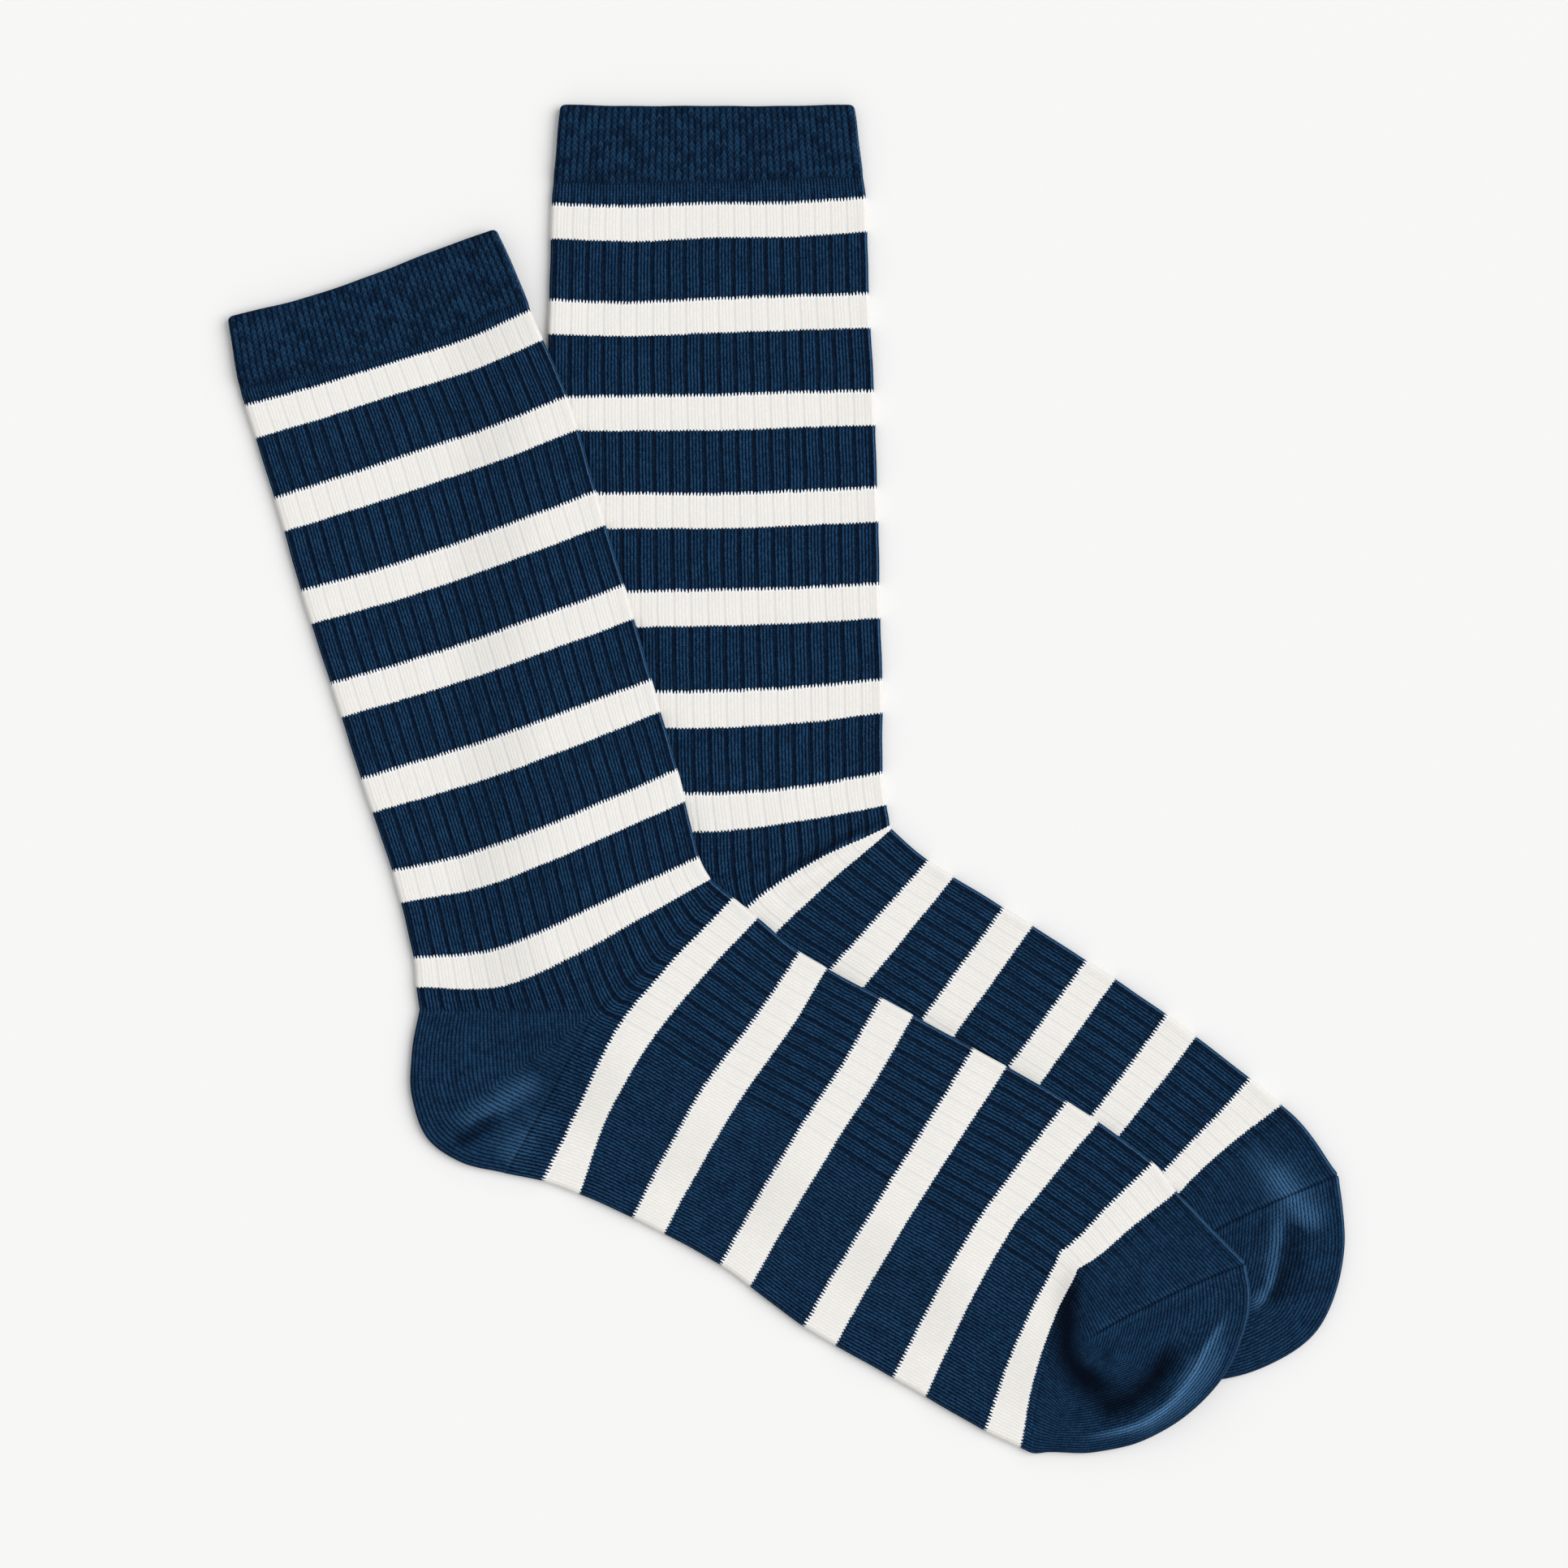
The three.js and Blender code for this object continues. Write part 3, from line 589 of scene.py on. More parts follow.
def edge_painted_light(off):
    """A pressed fold's painted highlight along its rim and painted shade line inside it, at a distance off
    its edge.
    """
    return 0.36 * np.exp(-(((off - 0.45) / 0.5) ** 2)) - 0.3 * np.exp(-(((off - 2) / 0.8) ** 2))


CREASE_HEIGHT = 0.45  # millimetres of height for each unit of a fine crease's light
LOWEST_DENT = 0.95
WAVE_HEIGHT = 0.12
WAVE_SHIFT = 0.12
FLOOR_GAP = 0.02


# Relief of the knitting, in millimetres, over wale (columns) and course (rows)


def wale_relief(wale, depth):
    """Rounded columns: depth * (sqrt(sin(pi * wale)) - 1), so 0 on the crest and -depth in the hollow."""
    return depth * (np.sqrt(np.abs(np.sin(np.pi * wale))) - 1)


def rib_relief(wale, rib, depth):
    """A groove in the middle of each rib's span: -depth * (1 + cos) / 2 across it."""
    off = np.clip(((wale / rib) % 1 - 0.5) * rib / GROOVE_REACH, -1, 1)
    return -depth * (1 + np.cos(np.pi * off)) / 2


def over_pocket(wale):
    """1 on the wales that the heel and sole are knitted on, and 0 on those of the instep."""
    return smooth(HALF_WALES + 0.5 - np.abs(wale - FACE_WALES))


def leg_ribs(wale, course):
    """Full ribs, faint at the cuff, which end just above the heel pocket."""
    return smooth((course - 22) / 4.5) * (1 - over_pocket(wale) * smooth((course - ANKLE + 1.2) / 1.2))


def foot_ribs(wale, course):
    """Ribs over the instep, fainter from the ankle on, and none on the sole."""
    return (1 - over_pocket(wale)) * (1 - (1 - FOOT_RIB) * smooth((course - ANKLE) / 30))


FOOT_RIB = 0.85  # how full the instep's ribs are
GROOVE_REACH = 0.62  # from a groove's middle to its side, in wales


def stripe_mask(course):
    """1 on the cream courses and 0 on the navy ones, with soft steps between them."""
    into = (course - STRIPE_START) % STRIPE_PITCH
    return smooth(into / STRIPE_STEP) * smooth((STRIPE_WIDTH - into) / STRIPE_STEP)


def welt_dip(course):
    """The soft dip along the welt's lower edge, below zero: it sinks the surface and is painted in as
    shade.
    """
    return -0.16 * np.exp(-(((course - CUFF_END) / 1.7) ** 2))


def braid_relief(column, row, depth):
    """Columns of nested loops like inverted Vs: a rounded column, and on it a ridge that falls away.

    The ridge is where row - BRAID_SLANT * |across| is half way between whole numbers.
    """
    across = np.abs(column % 1 - 0.5)
    ridge = (1 + np.cos(2 * np.pi * (row - BRAID_SLANT * across - 0.5))) / 2
    return depth * (np.sqrt(np.cos(np.pi * across)) * (0.75 + 0.25 * ridge) - 1)


def seam_relief(off):
    """A linked seam at a distance off: a sharp groove with a soft bank beside it."""
    return 0.05 * np.exp(-(((off - 1.1) / 0.6) ** 2)) - 0.4 * np.exp(-((off / 0.3) ** 2))


BRAID_SLANT = 2.1
STRIPE_STEP = 0.5  # the height of a stripe's soft edge, in millimetres


# Meshes


class Grid:
    """A grid of points, rows by columns, with the knitting at each and how its faces are made.

    flip turns its faces over. caps lists the rows that a raw end of the cloth starts from, whose faces
    are shaded flat.
    """

    def __init__(self, points, wale, course, lift=0, rib=0, flip=False, caps=()):
        shape = points.shape[:2]
        self.points = points
        self.knit = np.stack([np.broadcast_to(wale, shape), np.broadcast_to(course, shape)], axis=-1)
        self.tone = np.stack([np.broadcast_to(lift, shape), np.broadcast_to(rib, shape)], axis=-1)
        self.flip = flip
        self.caps = caps

    def quads(self, offset):
        rows, columns = self.points.shape[:2]
        index = offset + np.arange(rows * columns).reshape(rows, columns)
        quads = np.stack([index[:-1, :-1], index[:-1, 1:], index[1:, 1:], index[1:, :-1]], axis=-1)
        flat = np.zeros((rows - 1, columns - 1), bool)
        flat[list(self.caps)] = True
        return (quads[..., ::-1] if self.flip else quads).reshape(-1, 4), flat.ravel()


def make_mesh(name, grids):
    """One closed mesh from grids, in millimetres, that share their edges.

    Points at the same place become one, and a face that loses a side there keeps the rest. The UV map
    "Knit" holds wale and course, and the attributes "Lift", the painted light and shade of the folds,
    creases and rims, and "Rib", how full the ribs are.
    """
    points = np.concatenate([g.points.reshape(-1, 3) for g in grids])
    knit = np.concatenate([g.knit.reshape(-1, 2) for g in grids])
    tone = np.concatenate([g.tone.reshape(-1, 2) for g in grids])
    starts = np.cumsum([0] + [g.points.shape[0] * g.points.shape[1] for g in grids])
    made = [g.quads(start) for g, start in zip(grids, starts)]
    quads = np.concatenate([m[0] for m in made])
    flat = np.concatenate([m[1] for m in made])
    _, first, shared = np.unique(
        np.round(points * 1e4).astype(np.int64), axis=0, return_index=True, return_inverse=True)
    corners = shared.reshape(-1)[quads]
    kept = corners != np.roll(corners, -1, axis=1)
    whole = kept.sum(axis=1) >= 3
    kept, corners, quads, flat = kept[whole], corners[whole], quads[whole], flat[whole]
    counts = kept.sum(axis=1)

    mesh = bpy.data.meshes.new(name)
    mesh.vertices.add(len(first))
    mesh.vertices.foreach_set("co", (points[first] * MM).ravel())
    mesh.loops.add(int(counts.sum()))
    mesh.loops.foreach_set("vertex_index", corners[kept])
    mesh.polygons.add(len(counts))
    mesh.polygons.foreach_set("loop_start", np.concatenate([[0], np.cumsum(counts)[:-1]]))
    mesh.polygons.foreach_set("use_smooth", ~flat)
    layer = mesh.uv_layers.new(name="Knit")
    layer.data.foreach_set("uv", knit[quads[kept]].ravel())
    # Lift holds the painted light and shade of folds, creases and rims; Rib how full the ribs are
    for column, label in enumerate(("Lift", "Rib")):
        attribute = mesh.attributes.new(label, "FLOAT", "POINT")
        attribute.data.foreach_set("value", tone[first, column])
    mesh.update(calc_edges=True)
    mesh.validate()
    return mesh


def wales(first, last, fine, coarse):
    """Wales from first on the top face, finely spaced, round the back fold and on to last underneath."""
    top = np.linspace(first, FACE_WALES, fine + 1)
    under = np.linspace(FACE_WALES, last, coarse + 1)
    return np.concatenate([top, under[1:]])


FINE = 4  # points to a wale on the face that shows


def steps(first, last, step):
    """Evenly spaced numbers from first to last, about a step apart."""
    return np.linspace(first, last, int(round(abs(last - first) / step)) + 1)


def on_top(wale, relief):
    """Relief as given on the top face and round its folds, and none underneath, where the sock rests."""
    return np.where(wale <= FACE_WALES, relief, 0)


def closed(outer, inner):
    """The rows of an outer skin, those of the inner one, and the first row again."""
    return np.concatenate([outer, inner, outer[:1]])


def both_socks():
    """The under sock, and the top sock with the ground that it lies on."""
    knit = bpy.context.scene.sock_knit
    under = Sock(UNDER_SOCK, knit)
    ring = outline_of(UNDER_SOCK, under.layout)
    ground = (ring, 2 * under.radius + CLEARANCE, UNDER_SOCK["folds"])
    return under, Sock(TOP_SOCK, knit, ground)


def finish_piece(sock, part, grids, material):
    """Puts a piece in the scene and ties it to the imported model. The top sock's lies on those below."""
    name = f"{sock.name}_{part}"
    mesh = make_mesh(name, grids)
    piece = bpy.data.objects.new(name + "_knit", mesh)
    bpy.context.scene.collection.objects.link(piece)
    mesh.materials.append(material)
    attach(piece, "root")
    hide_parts(name)


def knit_tubes(part, first, last, ribs_at):
    """Knits a stretch of both socks as closed walls, with a raw edge at each end."""
    knit = bpy.context.scene.sock_knit
    wale = wales(0, RING_WALES, FACE_WALES * FINE, FACE_WALES)
    course = steps(first, last, knit.row_step / MM)
    inner_course = steps(last, first, 12)
    rib = ribs_at(wale, course[:, None])
    dip = welt_dip(course[:, None])
    stripe = stripe_mask(course[:, None])
    relief = (
        wale_relief(wale, knit.wale_depth / MM) * (1 - CREAM_FLATTENS * stripe)
        + rib * (1 - CREAM_FILLS * stripe) * rib_relief(wale, knit.rib_wales, knit.rib_depth / MM)
        + knit.stripe_rise / MM * stripe
        + dip
    )
    for sock in both_socks():
        outer, inner, lift = sock.skins(
            sock.layout[part], course, inner_course, wale, on_top(wale, relief), True)
        none = np.zeros(inner.shape[:2])
        # the lift is the folds' painted light and shade, with the welt's dip added as painted shade
        grid = Grid(
            closed(outer, inner), wale, closed(course, inner_course)[:, None],
            lift=closed(lift + dip, none), rib=closed(rib, none),
            caps=(len(course) - 1, len(course) + len(inner_course) - 1))
        finish_piece(sock, part, [grid], striped_knit())
    return {"FINISHED"}


# how much of a wale's and of a groove's depth the thicker cream yarn takes up
CREAM_FLATTENS = 0.8
CREAM_FILLS = 0.6


class SOCKS_OT_legs(bpy.types.Operator):
    """Knits the ribbed legs, from the cuff to the ankle"""

    bl_idname = "socks.legs"
    bl_label = "Legs"

    def execute(self, context):
        return knit_tubes("leg", CUFF_END, ANKLE, leg_ribs)


class SOCKS_OT_feet(bpy.types.Operator):
    """Knits the feet, ribbed over the instep and plain under the sole"""

    bl_idname = "socks.feet"
    bl_label = "Feet"

    def execute(self, context):
        return knit_tubes("foot", ANKLE, TOE_START, foot_ribs)


class SOCKS_OT_cuffs(bpy.types.Operator):
    """Knits the cuffs, a double welt in braid stitch with a turned edge"""

    bl_idname = "socks.cuffs"
    bl_label = "Cuffs"

    def execute(self, context):
        knit = context.scene.sock_knit
        wall, slit = knit.welt_wall / MM, knit.slit / MM
        full = wall + slit / 2
        wale = wales(0, RING_WALES, knit.braids * BRAID_FINE, 2 * knit.braids)
        share = np.where(wale <= FACE_WALES, wale, RING_WALES - wale) / FACE_WALES
        turn = np.radians(np.arange(0, 181, 22.5))
        body = steps(wall / 2, CUFF_END, BRAID_HEIGHT / 4)[1:]
        inner = steps(CUFF_END, wall / 2, 5)[:-1]
        course = np.concatenate([inner, wall / 2 * (1 - np.sin(turn)), body])
        # the last courses draw in to the leg's own thickness
        draw_in = smooth((body - CUFF_END + DRAW_IN) / DRAW_IN)
        raised = np.concatenate([np.zeros(len(inner) + 3), np.ones(len(turn) - 3), 1 - draw_in])[:, None]
        dip = welt_dip(course)[:, None] * (raised > 0)
        dip[-1] = welt_dip(CUFF_END)
        braid = braid_relief(
            wale / FACE_WALES * knit.braids, course[:, None] / BRAID_HEIGHT, knit.braid_depth / MM)
        relief = on_top(wale, braid * raised + dip)
        for sock in both_socks():
            drawn = full + (sock.radius - full) * draw_in
            lip_radius = slit / 2 + wall / 2 * (1 - np.cos(turn))
            radius = np.concatenate([np.full(len(inner), slit / 2), lip_radius, drawn])
            middle = np.concatenate([np.full(len(inner) + len(turn), full), drawn])
            surface = sock.layout["leg"]
            points, lift = sock.skin(surface, course, wale, radius, middle, relief, True)
            points[..., :2] += round_corners(surface, course, share)
            # painted shade of the welt's dip, on top of the folds' painted light and shade
            lift = lift + dip
            grid = Grid(
                np.concatenate([points, points[:1]]), wale, np.append(course, course[0])[:, None],
                lift=np.concatenate([lift, lift[:1]]), caps=(len(course) - 1,))
            finish_piece(sock, "cuff", [grid], braid_knit())
        return {"FINISHED"}


def round_corners(surface, course, share):
    """Draws the cuff's edge back at both folds, along the tube, on a quarter circle."""
    places = np.tile([0.0, 0.5, 1.0], (len(course), 1))
    line = surface(course, places)
    run = (surface(course + 0.5, places) - line)[:, 1:2]
    off = np.minimum(share, 1 - share) * size_of(line[:, 2] - line[:, 0])[:, None]
    short = np.clip(1 - off / CORNER, 0, 1)
    back = CORNER * (1 - np.sqrt(1 - short**2)) * smooth(1 - course[:, None] / (3 * CORNER))
    return run / size_of(run)[..., None] * back[..., None]


BRAID_FINE = 8  # points to a column of braid
BRAID_HEIGHT = 1.58  # one loop of the braid, in millimetres
DRAW_IN = 4.5  # how far above the welt's lower edge it starts to thin
CORNER = 1.8  # the round at each end of the cuff's edge


def pocket_wales():
    """Wales of a pocket, and how far out of its corner each is at the folded edge."""
    wale = wales(HALF_WALES, FACE_WALES + HALF_WALES, HALF_WALES * FINE, HALF_WALES)
    return wale, 1 - np.abs(wale - FACE_WALES) / HALF_WALES


def pocket_course(t, share, gore, start, depth):
    """Courses of a pocket, in millimetres: they are counted up to the gore line and down again."""
    rise = np.where(t < gore, t / gore, (1 - t) / (1 - gore))
    return start + depth * rise[:, None] * share[None, :]


class SOCKS_OT_heels(bpy.types.Operator):
    """Knits the plain heel pockets round the back folds"""

    bl_idname = "socks.heels"
    bl_label = "Heels"

    def execute(self, context):
        wale, out = pocket_wales()
        t = np.linspace(0, 1, HEEL_ROWS)
        inner_t = np.linspace(1, 0, 7)
        turns = closed(t, inner_t)
        wales_up = wale_relief(wale, context.scene.sock_knit.wale_depth / MM)
        relief = np.tile(on_top(wale, wales_up), (len(t), 1))
        for sock in both_socks():
            outer, inner, lift = sock.skins(sock.layout["heel"], t, inner_t, wale, relief, False, 0)
            grid = Grid(
                closed(outer, inner), wale, pocket_course(turns, out, HEEL_GORE, ANKLE, HEEL_DEPTH),
                lift=closed(lift, np.zeros(inner.shape[:2])), caps=(len(t) - 1, len(turns) - 2))
            finish_piece(sock, "heel", [grid], plain_knit())
        return {"FINISHED"}


HEEL_ROWS = 46
HEEL_DEPTH = 27  # from the heel's first course to its gore line, at the folded edge


class SOCKS_OT_toes(bpy.types.Operator):
    """Knits the toe pockets and closes each with its linked seam"""

    bl_idname = "socks.toes"
    bl_label = "Toes"

    def execute(self, context):
        knit = context.scene.sock_knit
        wale, out = pocket_wales()
        wales_up = wale_relief(wale, knit.wale_depth / MM)
        start_t = np.concatenate([np.linspace(0, 0.88, 15), np.linspace(0.9, 1, 9)])
        turn_t = np.concatenate([np.linspace(0, 0.965, 64), np.linspace(0.97, 1, 12)])[1:]
        inner_t = np.linspace(0, 1, 5)
        inner_turn = np.linspace(0, 1, 13)[1:]
        start_column, turn_column = start_t[:, None], turn_t[:, None]
        from_corner = smooth(out / 0.1)
        # wales of the instep run on from the foot's, so they are counted back from the corner
        instep_wale = 2 * HALF_WALES - wale
        for sock in both_socks():
            layout = sock.layout
            # how far it is along each wale of the instep, from the foot's last course to the seam
            ends = layout["toe_instep"](np.array([0.0, 1.0]), np.tile(out, (2, 1)))
            reach = size_of(ends[1] - ends[0])
            before = seam_relief((1 - start_column) * reach) * from_corner
            after = seam_relief((1 - turn_column) * TURN_LENGTH * out) * from_corner
            rib = FOOT_RIB * (1 - smooth(start_column * reach / RIBS_DIE_OUT))
            ribs = rib * rib_relief(instep_wale, knit.rib_wales, knit.rib_depth / MM)

            def skins(part, t, inner, relief, rim):
                return sock.skins(layout[part], t, inner, wale, on_top(wale, wales_up + relief), False, rim)

            instep, instep_in, instep_lift = skins("toe_instep", start_t, inner_t, ribs + before, 1)
            sole, sole_in, sole_lift = skins("toe_sole", start_t, inner_t, 0 * start_column, 0)
            turned, turned_in, turned_lift = skins(
                "toe", turn_t, inner_turn, after, smooth(2 * turn_column - 1))
            turned[-1] = instep[-1]
            turned_in[-1] = instep_in[-1]
            sole_course = TOE_START + start_column * (SOLE_RUN + 0 * out)
            turn_course = pocket_course(turn_t, out, TOE_GORE, TOE_START + SOLE_RUN, TOE_DEPTH)
            grids = [
                Grid(instep, instep_wale, TOE_START + start_column * reach, lift=instep_lift + before,
                     rib=rib, flip=True),
                Grid(np.concatenate([sole, turned]), wale, np.concatenate([sole_course, turn_course]),
                     lift=np.concatenate([sole_lift, turned_lift + after])),
                Grid(instep_in, 0, TOE_START),
                Grid(np.concatenate([sole_in, turned_in]), 0, TOE_START, flip=True),
                Grid(np.stack([instep[0], instep_in[0]]), 0, TOE_START, caps=(0,)),
                Grid(np.stack([sole[0], sole_in[0]]), 0, TOE_START, flip=True, caps=(0,)),
            ]
            finish_piece(sock, "toe", grids, plain_knit())
        return {"FINISHED"}


TURN_LENGTH = 84  # round the toe's folded edge
TOE_DEPTH = 27
SOLE_RUN = 8  # courses of sole before the toe's pocket begins, in millimetres
RIBS_DIE_OUT = 12  # how far the instep's ribs run on over the toe


# Materials


class Value:
    """An output in a node tree, with arithmetic that adds nodes, so that a formula reads as one."""

    def __init__(self, nodes, socket):
        self.nodes = nodes
        self.socket = socket

    def __add__(self, other):
        return self.nodes.math("ADD", self, other)

    def __sub__(self, other):
        return self.nodes.math("SUBTRACT", self, other)

    def __rsub__(self, other):
        return self.nodes.math("SUBTRACT", other, self)

    def __mul__(self, other):
        return self.nodes.math("MULTIPLY", self, other)

    def __truediv__(self, other):
        return self.nodes.math("DIVIDE", self, other)

    def __pow__(self, other):
        return self.nodes.math("POWER", self, other)

    def __abs__(self):
        return self.nodes.math("ABSOLUTE", self)


class Nodes:
    """Adds nodes to a node tree."""

    def __init__(self, tree):
        self.tree = tree

    def put(self, socket, value):
        if isinstance(value, Value):
            self.tree.links.new(value.socket, socket)
        else:
            socket.default_value = value

    def node(self, kind, inputs, **settings):
        """Adds a node with its settings, and with its inputs by name or number."""
        node = self.tree.nodes.new(kind)
        for name, value in settings.items():
            setattr(node, name, value)
        for name, value in inputs.items():
            self.put(node.inputs[name], value)
        return node

    def value(self, kind, output, inputs, **settings):
        """Adds a node and gives one of its outputs."""
        return Value(self, self.node(kind, inputs, **settings).outputs[output])

    def math(self, operation, *values, clamp=False):
        return self.value(
            "ShaderNodeMath", 0, dict(enumerate(values)), operation=operation, use_clamp=clamp)

    def share(self, first, second):
        """The product of two values, kept between 0 and 1."""
        return self.math("MULTIPLY", first, second, clamp=True)

    def mix(self, factor, first, second):
        node = self.node("ShaderNodeMix", {"Factor": factor}, data_type="RGBA")
        for socket, value in zip([s for s in node.inputs if s.type == "RGBA"], (first, second)):
            self.put(socket, value)
        return Value(self, next(s for s in node.outputs if s.type == "RGBA"))

    def between(self, value, low, high):
        """Maps value from low..high to 0..1, smoothly."""
        return self.value(
            "ShaderNodeMapRange", 0, {"Value": value, "From Min": low, "From Max": high},
            interpolation_type="SMOOTHSTEP")

    def off_middle(self, value):
        """How far the fraction of a value is from a half."""
        return abs(self.math("FRACT", value) - 0.5)

    def noise(self, output, **inputs):
        return self.value("ShaderNodeTexNoise", output, inputs)

    def split(self, vector):
        """The x and y of a vector."""
        node = self.node("ShaderNodeSeparateXYZ", {0: vector})
        return Value(self, node.outputs[0]), Value(self, node.outputs[1])

    def attribute(self, name):
        return self.value("ShaderNodeAttribute", "Fac", {}, attribute_name=name)


def node_group(name, inputs, outputs):
    """Makes a formula a shader node group, built once, that a call puts into a node tree."""
    def group_of(formula):
        @cache
        def build():
            tree = bpy.data.node_groups.new(name, "ShaderNodeTree")
            for side, labels in (("INPUT", inputs), ("OUTPUT", outputs)):
                for label in labels:
                    kind = "NodeSocketVector" if label == "Vector" else "NodeSocketFloat"
                    tree.interface.new_socket(name=label, in_out=side, socket_type=kind)
            nodes = Nodes(tree)
            entry = nodes.node("NodeGroupInput", {}).outputs
            results = formula(nodes, *(Value(nodes, entry[label]) for label in inputs))
            nodes.node("NodeGroupOutput", dict(zip(outputs, results)))
            return tree

        def use(nodes, *values):
            node = nodes.node("ShaderNodeGroup", dict(zip(inputs, values)), node_tree=build())
            return [Value(nodes, node.outputs[label]) for label in outputs]
        return use
    return group_of


@node_group("Knit stitches", ("Wale", "Course", "Slant", "Open", "Narrow"), ("Strand", "Height", "Tone"))
def knit_stitches(nodes, wale, course, slant, open_share, narrow):
    """Columns of nested loops, each two slanted strands that meet at the column's middle.

    Strand is the painted light of the stitches: 1 along the middle of each strand on the column's crest,
    with painted shade between the strands and towards the column's sides. Height is the rounded column with
    the strands on it, and Tone is a random number for each stitch.
    """
    across = nodes.off_middle(wale)
    column = 1.0 - (across * 2.0) ** 2.0
    shifted = course - across * slant
    strand = nodes.between(nodes.off_middle(shifted), 0.42, 0.08)
    light = column**narrow * (open_share + strand * (1.0 - open_share))
    cell = nodes.value("ShaderNodeCombineXYZ", 0, {
        0: nodes.math("FLOOR", wale), 1: nodes.math("FLOOR", shifted)})
    tone = nodes.value("ShaderNodeTexWhiteNoise", "Value", {"Vector": cell}, noise_dimensions="3D")
    return light, column * (strand * 0.5 + 0.5), tone


@node_group("Rib groove", ("Wale", "Rib", "Width"), ("Groove",))
def rib_groove(nodes, wale, rib, width):
    """The sunken wale between two ribs: 1 along its middle, falling to 0 at its edges."""
    return [nodes.between(nodes.off_middle(wale / rib) * rib, width, 0.0)]


@node_group("Stripes", ("Wale", "Course", "Start", "Pitch", "Width", "Tooth"), ("Stripe", "Edge"))
def stripes(nodes, wale, course, start, pitch, width, tooth):
    """Stripes round the tube, toothed by the V of each stitch. Edge is 1 along their upper edges."""
    tooth = nodes.between(nodes.off_middle(wale), 0.08, 0.42) * tooth
    chance = nodes.value(
        "ShaderNodeTexWhiteNoise", "Value", {"W": nodes.math("FLOOR", wale)}, noise_dimensions="1D")
    uneven = chance * 0.2 - 0.1
    into = (nodes.math("FRACT", (course - start) / pitch + 0.25) - 0.25) * pitch
    begun = nodes.between(into - (tooth + uneven), -0.55, -0.35)
    left = width - (tooth * -0.4 + into)
    return begun * nodes.between(left, 0.0, 0.2), nodes.between(into, 0.9, 0.1)


@node_group("Uneven knitting", ("Vector", "Wale", "Course", "Scale", "Wander"), ("Wale", "Course"))
def uneven_knitting(nodes, vector, wale, course, scale, wander):
    """Hand of the machine: wale and course wander a little, by Wander times a noise from -0.5 to 0.5."""
    x, y = nodes.split(nodes.noise("Color", Vector=vector, Scale=scale, Detail=1.0))
    return (x - 0.5) * wander + wale, (y - 0.5) * wander + course


@node_group("Heather", ("Vector", "Patch Scale", "Fleck Scale"), ("Patch", "Fleck"))
def heather(nodes, vector, patch_scale, fleck_scale):
    """Uneven dye and fuzz: broad soft patches, and fine flecks of lighter fibre."""
    fleck = nodes.noise(0, Vector=vector, Scale=fleck_scale, Detail=4.0)
    return nodes.noise(0, Vector=vector, Scale=patch_scale), fleck


COURSE_STEP = 0.62  # the height of one course of plain stitches, in millimetres
STITCH_SLANT = 1.5  # how many courses a strand of a plain stitch climbs over a whole wale
GROOVE_WIDTH = 0.44  # from a groove's middle to its side, in wales
# painted shade in the rib grooves, on the navy and on the cream
GROOVE_SHADE_NAVY = (0.0008, 0.002, 0.008, 1.0)
GROOVE_SHADE_CREAM = (0.60, 0.62, 0.66, 1.0)
EDGE_CREAM = (0.80, 0.83, 0.87, 1.0)
# near-black of the painted shade in dents
DENT_PAINTED_SHADE = (0.0, 0.0, 0.002, 1.0)


def colour(rgb, share=1.0):
    """A share of a colour, with its alpha."""
    return (*(share * part for part in rgb), 1.0)


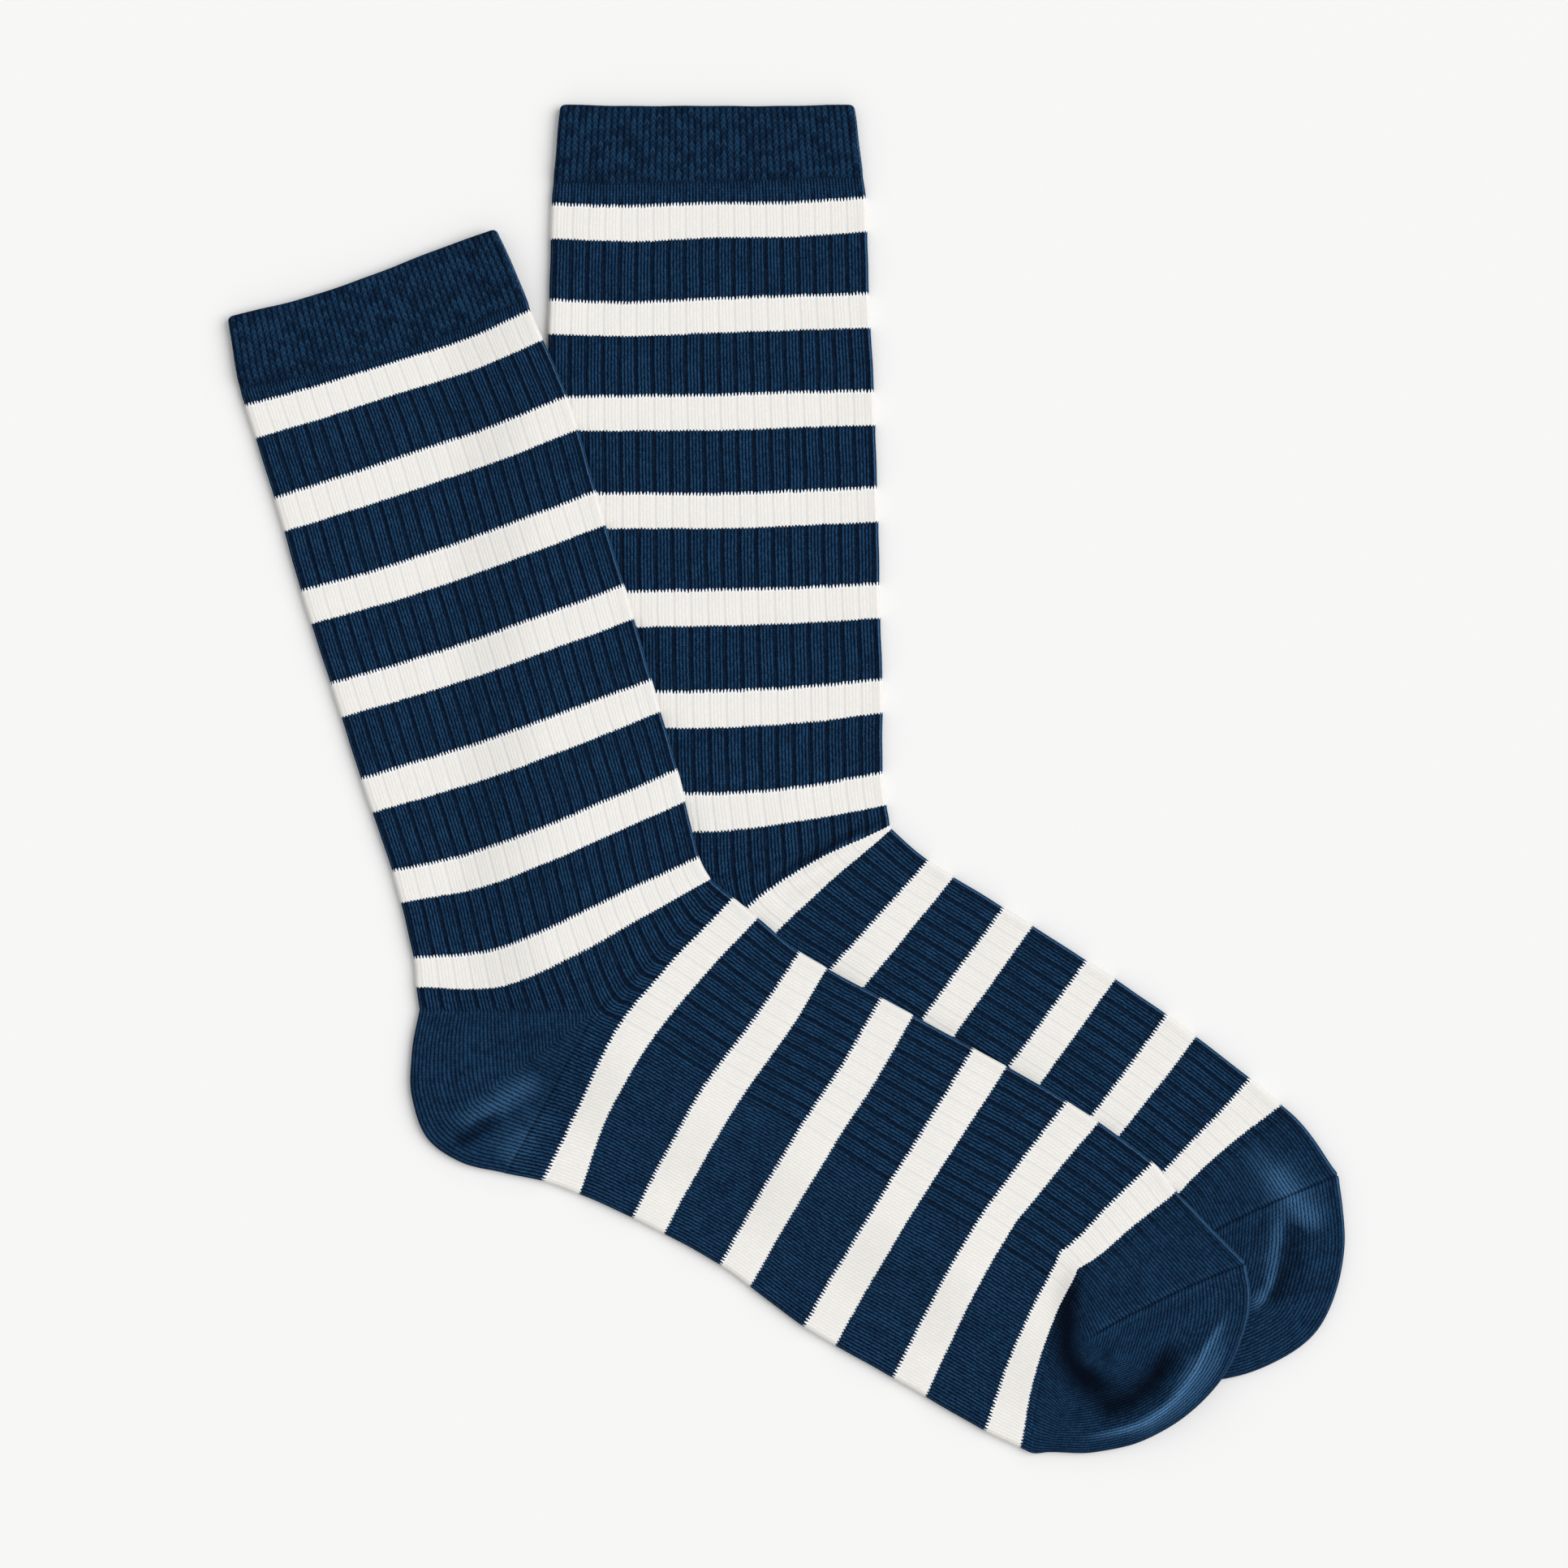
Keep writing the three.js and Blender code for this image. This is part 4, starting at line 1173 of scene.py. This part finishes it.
class KnitMaterial:
    """A knitted material in the making: each point's wale and course, its unevenness and its painted fold
    light.
    """

    def __init__(self, name, wander=0.5):
        self.material = bpy.data.materials.new(name)
        self.material.use_nodes = True
        self.nodes = Nodes(self.material.node_tree)
        place = self.nodes.value("ShaderNodeTexCoord", "Object", {})
        wale, course = self.nodes.split(self.nodes.value("ShaderNodeUVMap", "UV", {}, uv_map="Knit"))
        self.wale, self.course = uneven_knitting(self.nodes, place, wale, course, 1100.0, wander)
        self.patch, self.fleck = heather(self.nodes, place, 210.0, 1500.0)
        # the painted light and shade of folds, creases, rims and the welt's dip
        self.lift = self.nodes.attribute("Lift")

    def stitches(self, wale, course, slant, open_share, narrow):
        self.strand, self.height, self.tone = knit_stitches(
            self.nodes, wale, course, slant, open_share, narrow)

    def groove(self):
        """The groove between two ribs, as full as the ribs are."""
        rib_wales = float(bpy.context.scene.sock_knit.rib_wales)
        return rib_groove(self.nodes, self.wale, rib_wales, GROOVE_WIDTH)[0] * self.nodes.attribute("Rib")

    def yarn(self, lift, shade, light, crest, spread=0.6):
        """The yarn's colour: painted shade between strands, light on them, and a painted highlight along
        fold crests.

        The share of light is strand * (1 + spread (tone - 0.5)) * (0.5 + patch) + 0.3 (fleck - 0.5), all
        times 1 + 0.6 lift in a dent and 1 + 1.8 lift on a ridge, but at least 0.15: painted shade in dents
        and painted light on ridges. Ridges then take 1.1 lift * strand of the crest's colour, a painted
        highlight, and dents -lift / 2 of the dark one, a painted shade.
        """
        nodes = self.nodes
        tone = self.tone * spread + (1 - spread / 2)
        amount = self.strand * tone * (self.patch + 0.5) + (self.fleck * 0.3 - 0.15)
        # painted light on ridges and painted shade in dents, from the folds' lift
        ridge = nodes.math("MAXIMUM", lift, 0.0)
        gain = nodes.math("MAXIMUM", ridge * 1.2 + (lift * 0.6 + 1.0), 0.15)
        yarn = nodes.mix(nodes.share(amount, gain), shade, light)
        # painted highlight along the crests of folds
        yarn = nodes.mix(nodes.share(self.strand * ridge, 1.1), yarn, crest)
        # painted shade in dents: a mix towards near-black
        return nodes.mix(nodes.share(lift, -0.5), yarn, DENT_PAINTED_SHADE)

    def navy(self, share=1.0, spread=0.6):
        """The navy yarn, its light parts a share of the full colour, with the folds' painted light and
        shade.
        """
        colours = bpy.context.scene.sock_colours
        return self.yarn(
            self.lift, colour(colours.navy_shade), colour(colours.navy, share), colour(colours.navy_fold_highlight),
            spread)

    def finish(self, base, height, relief):
        """Sets the shader's inputs, with a bump whose relief is in millimetres."""
        bump = self.nodes.value(
            "ShaderNodeBump", 0, {"Distance": relief * MM, "Strength": 1.0, "Height": height})
        shader = self.material.node_tree.nodes["Principled BSDF"]
        for name, value in {
            "Base Color": base, "Normal": bump, "Roughness": 0.8, "Specular IOR Level": 0.03,
            "Sheen Weight": 0.015, "Sheen Roughness": 0.5,
        }.items():
            self.nodes.put(shader.inputs[name], value)
        return self.material


@cache
def striped_knit():
    """Ribbed knit in navy with cream stripes; the ribs stop where the sole begins."""
    colours = bpy.context.scene.sock_colours
    knit = KnitMaterial("Striped rib knit")
    nodes = knit.nodes
    knit.stitches(knit.wale, knit.course / COURSE_STEP, STITCH_SLANT, 0.6, 2.5)
    groove = knit.groove()
    stripe, edge = stripes(
        nodes, knit.wale, knit.course, STRIPE_START, STRIPE_PITCH, STRIPE_WIDTH, 0.88)
    # painted shade in the rib grooves, stronger in random patches
    dark = nodes.share(groove, knit.patch * 1.5 + 0.25)
    navy = nodes.mix(dark, knit.navy(), GROOVE_SHADE_NAVY)
    pale = colour(colours.cream)
    # painted shade on the cream at folds, creases and rims
    cream = knit.yarn(abs(knit.lift) * -0.35, colour(colours.cream_shade), pale, pale)
    # painted shade in the cream's rib grooves
    cream = nodes.mix(dark * 0.42, cream, GROOVE_SHADE_CREAM)
    cream = nodes.mix(edge, cream, EDGE_CREAM)
    height = (groove * -1.2 + knit.height) * (stripe * -0.8 + 1.0)
    return knit.finish(nodes.mix(stripe, navy, cream), height, 0.09)


@cache
def plain_knit():
    """Plain navy knit for the heel and toe pockets; the instep's ribs die out over the toe."""
    knit = KnitMaterial("Plain navy knit")
    knit.stitches(knit.wale, knit.course / COURSE_STEP, STITCH_SLANT, 0.62, 1.4)
    # painted shade in the instep's rib grooves as they die out over the toe
    return knit.finish(knit.nodes.mix(knit.groove() * 0.8, knit.navy(0.8), GROOVE_SHADE_NAVY), knit.height, 0.09)


@cache
def braid_knit():
    """The cuff's braid stitch in navy: nested loops in columns parted by painted shade in the gaps."""
    knit = KnitMaterial("Braided welt knit", 0.8)
    column = knit.wale * (bpy.context.scene.sock_knit.braids / FACE_WALES)
    knit.stitches(column, knit.course / BRAID_HEIGHT, BRAID_SLANT, 0.34, 0.95)
    return knit.finish(knit.navy(0.7, 1.1), knit.height, 0.12)


# The stage

VIEW_CENTRE = (-0.54, -1.3)  # the middle of the view on the floor, in millimetres
VIEW_WIDTH = 417.3
SENSOR = 36.0
FLOOR_REACH = 6.0  # from the middle of the floor to its sides, in metres


class SOCKS_OT_stage(bpy.types.Operator):
    """Sets the pale floor, the soft light from the right and the camera straight above"""

    bl_idname = "socks.stage"
    bl_label = "Stage"

    def execute(self, context):
        scene = context.scene
        look = scene.sock_stage
        mesh = bpy.data.meshes.new("floor")
        corners = [(x * FLOOR_REACH, y * FLOOR_REACH, 0) for x, y in ((-1, -1), (1, -1), (1, 1), (-1, 1))]
        mesh.from_pydata(corners, [], [(0, 1, 2, 3)])
        floor = bpy.data.objects.new("floor", mesh)
        scene.collection.objects.link(floor)
        material = bpy.data.materials.new("Pale floor")
        material.use_nodes = True
        shader = material.node_tree.nodes["Principled BSDF"]
        shader.inputs["Base Color"].default_value = colour(look.floor)
        shader.inputs["Roughness"].default_value = 0.9
        shader.inputs["Specular IOR Level"].default_value = 0.1
        mesh.materials.append(material)

        world = bpy.data.worlds.new("Soft sky")
        world.use_nodes = True
        sky = world.node_tree.nodes["Background"]
        sky.inputs["Color"].default_value = (1.0, 1.0, 1.0, 1.0)
        sky.inputs["Strength"].default_value = look.sky
        scene.world = world

        lamp = bpy.data.lights.new("window", "SUN")
        lamp.energy = look.key
        lamp.angle = radians(look.softness)
        lamp.color = (1.0, 0.995, 0.985)
        window = bpy.data.objects.new("window", lamp)
        scene.collection.objects.link(window)
        window.location = (0.74, 0.12, 0.80)
        window.rotation_euler = window.location.to_track_quat("Z", "Y").to_euler()

        lens = bpy.data.cameras.new("camera")
        lens.sensor_width = SENSOR
        lens.lens = SENSOR * look.camera_height / (VIEW_WIDTH * MM)
        camera = bpy.data.objects.new("camera", lens)
        scene.collection.objects.link(camera)
        camera.location = (VIEW_CENTRE[0] * MM, VIEW_CENTRE[1] * MM, look.camera_height)
        scene.camera = camera
        scene.view_settings.view_transform = "Standard"
        scene.view_settings.look = "None"
        return {"FINISHED"}


class SOCKS_PT_panel(bpy.types.Panel):
    """Lists the pieces of the socks and their sizes and colours"""

    bl_label = "Striped crew socks"
    bl_idname = "SOCKS_PT_panel"
    bl_space_type = "VIEW_3D"
    bl_region_type = "UI"
    bl_category = "Socks"

    def draw(self, context):
        for group in (context.scene.sock_knit, context.scene.sock_colours, context.scene.sock_stage):
            box = self.layout.box()
            for name in group.bl_rna.properties.keys():
                if name not in ("rna_type", "name"):
                    box.prop(group, name)
        for piece in PIECES:
            self.layout.operator(piece.bl_idname)


PIECES = (
    SOCKS_OT_cuffs, SOCKS_OT_legs, SOCKS_OT_heels, SOCKS_OT_feet, SOCKS_OT_toes, SOCKS_OT_stage,
)
GROUPS = {"sock_knit": SockKnit, "sock_colours": SockColours, "sock_stage": SockStage}
CLASSES = (*GROUPS.values(), *PIECES, SOCKS_PT_panel)


def register():
    for cls in CLASSES:
        bpy.utils.register_class(cls)
    for name, group in GROUPS.items():
        setattr(bpy.types.Scene, name, PointerProperty(type=group))


def unregister():
    for name in GROUPS:
        delattr(bpy.types.Scene, name)
    for cls in reversed(CLASSES):
        bpy.utils.unregister_class(cls)


def main():
    register()
    for piece in PIECES:
        group, name = piece.bl_idname.split(".")
        getattr(getattr(bpy.ops, group), name)()


if __name__ == "__main__":
    main()
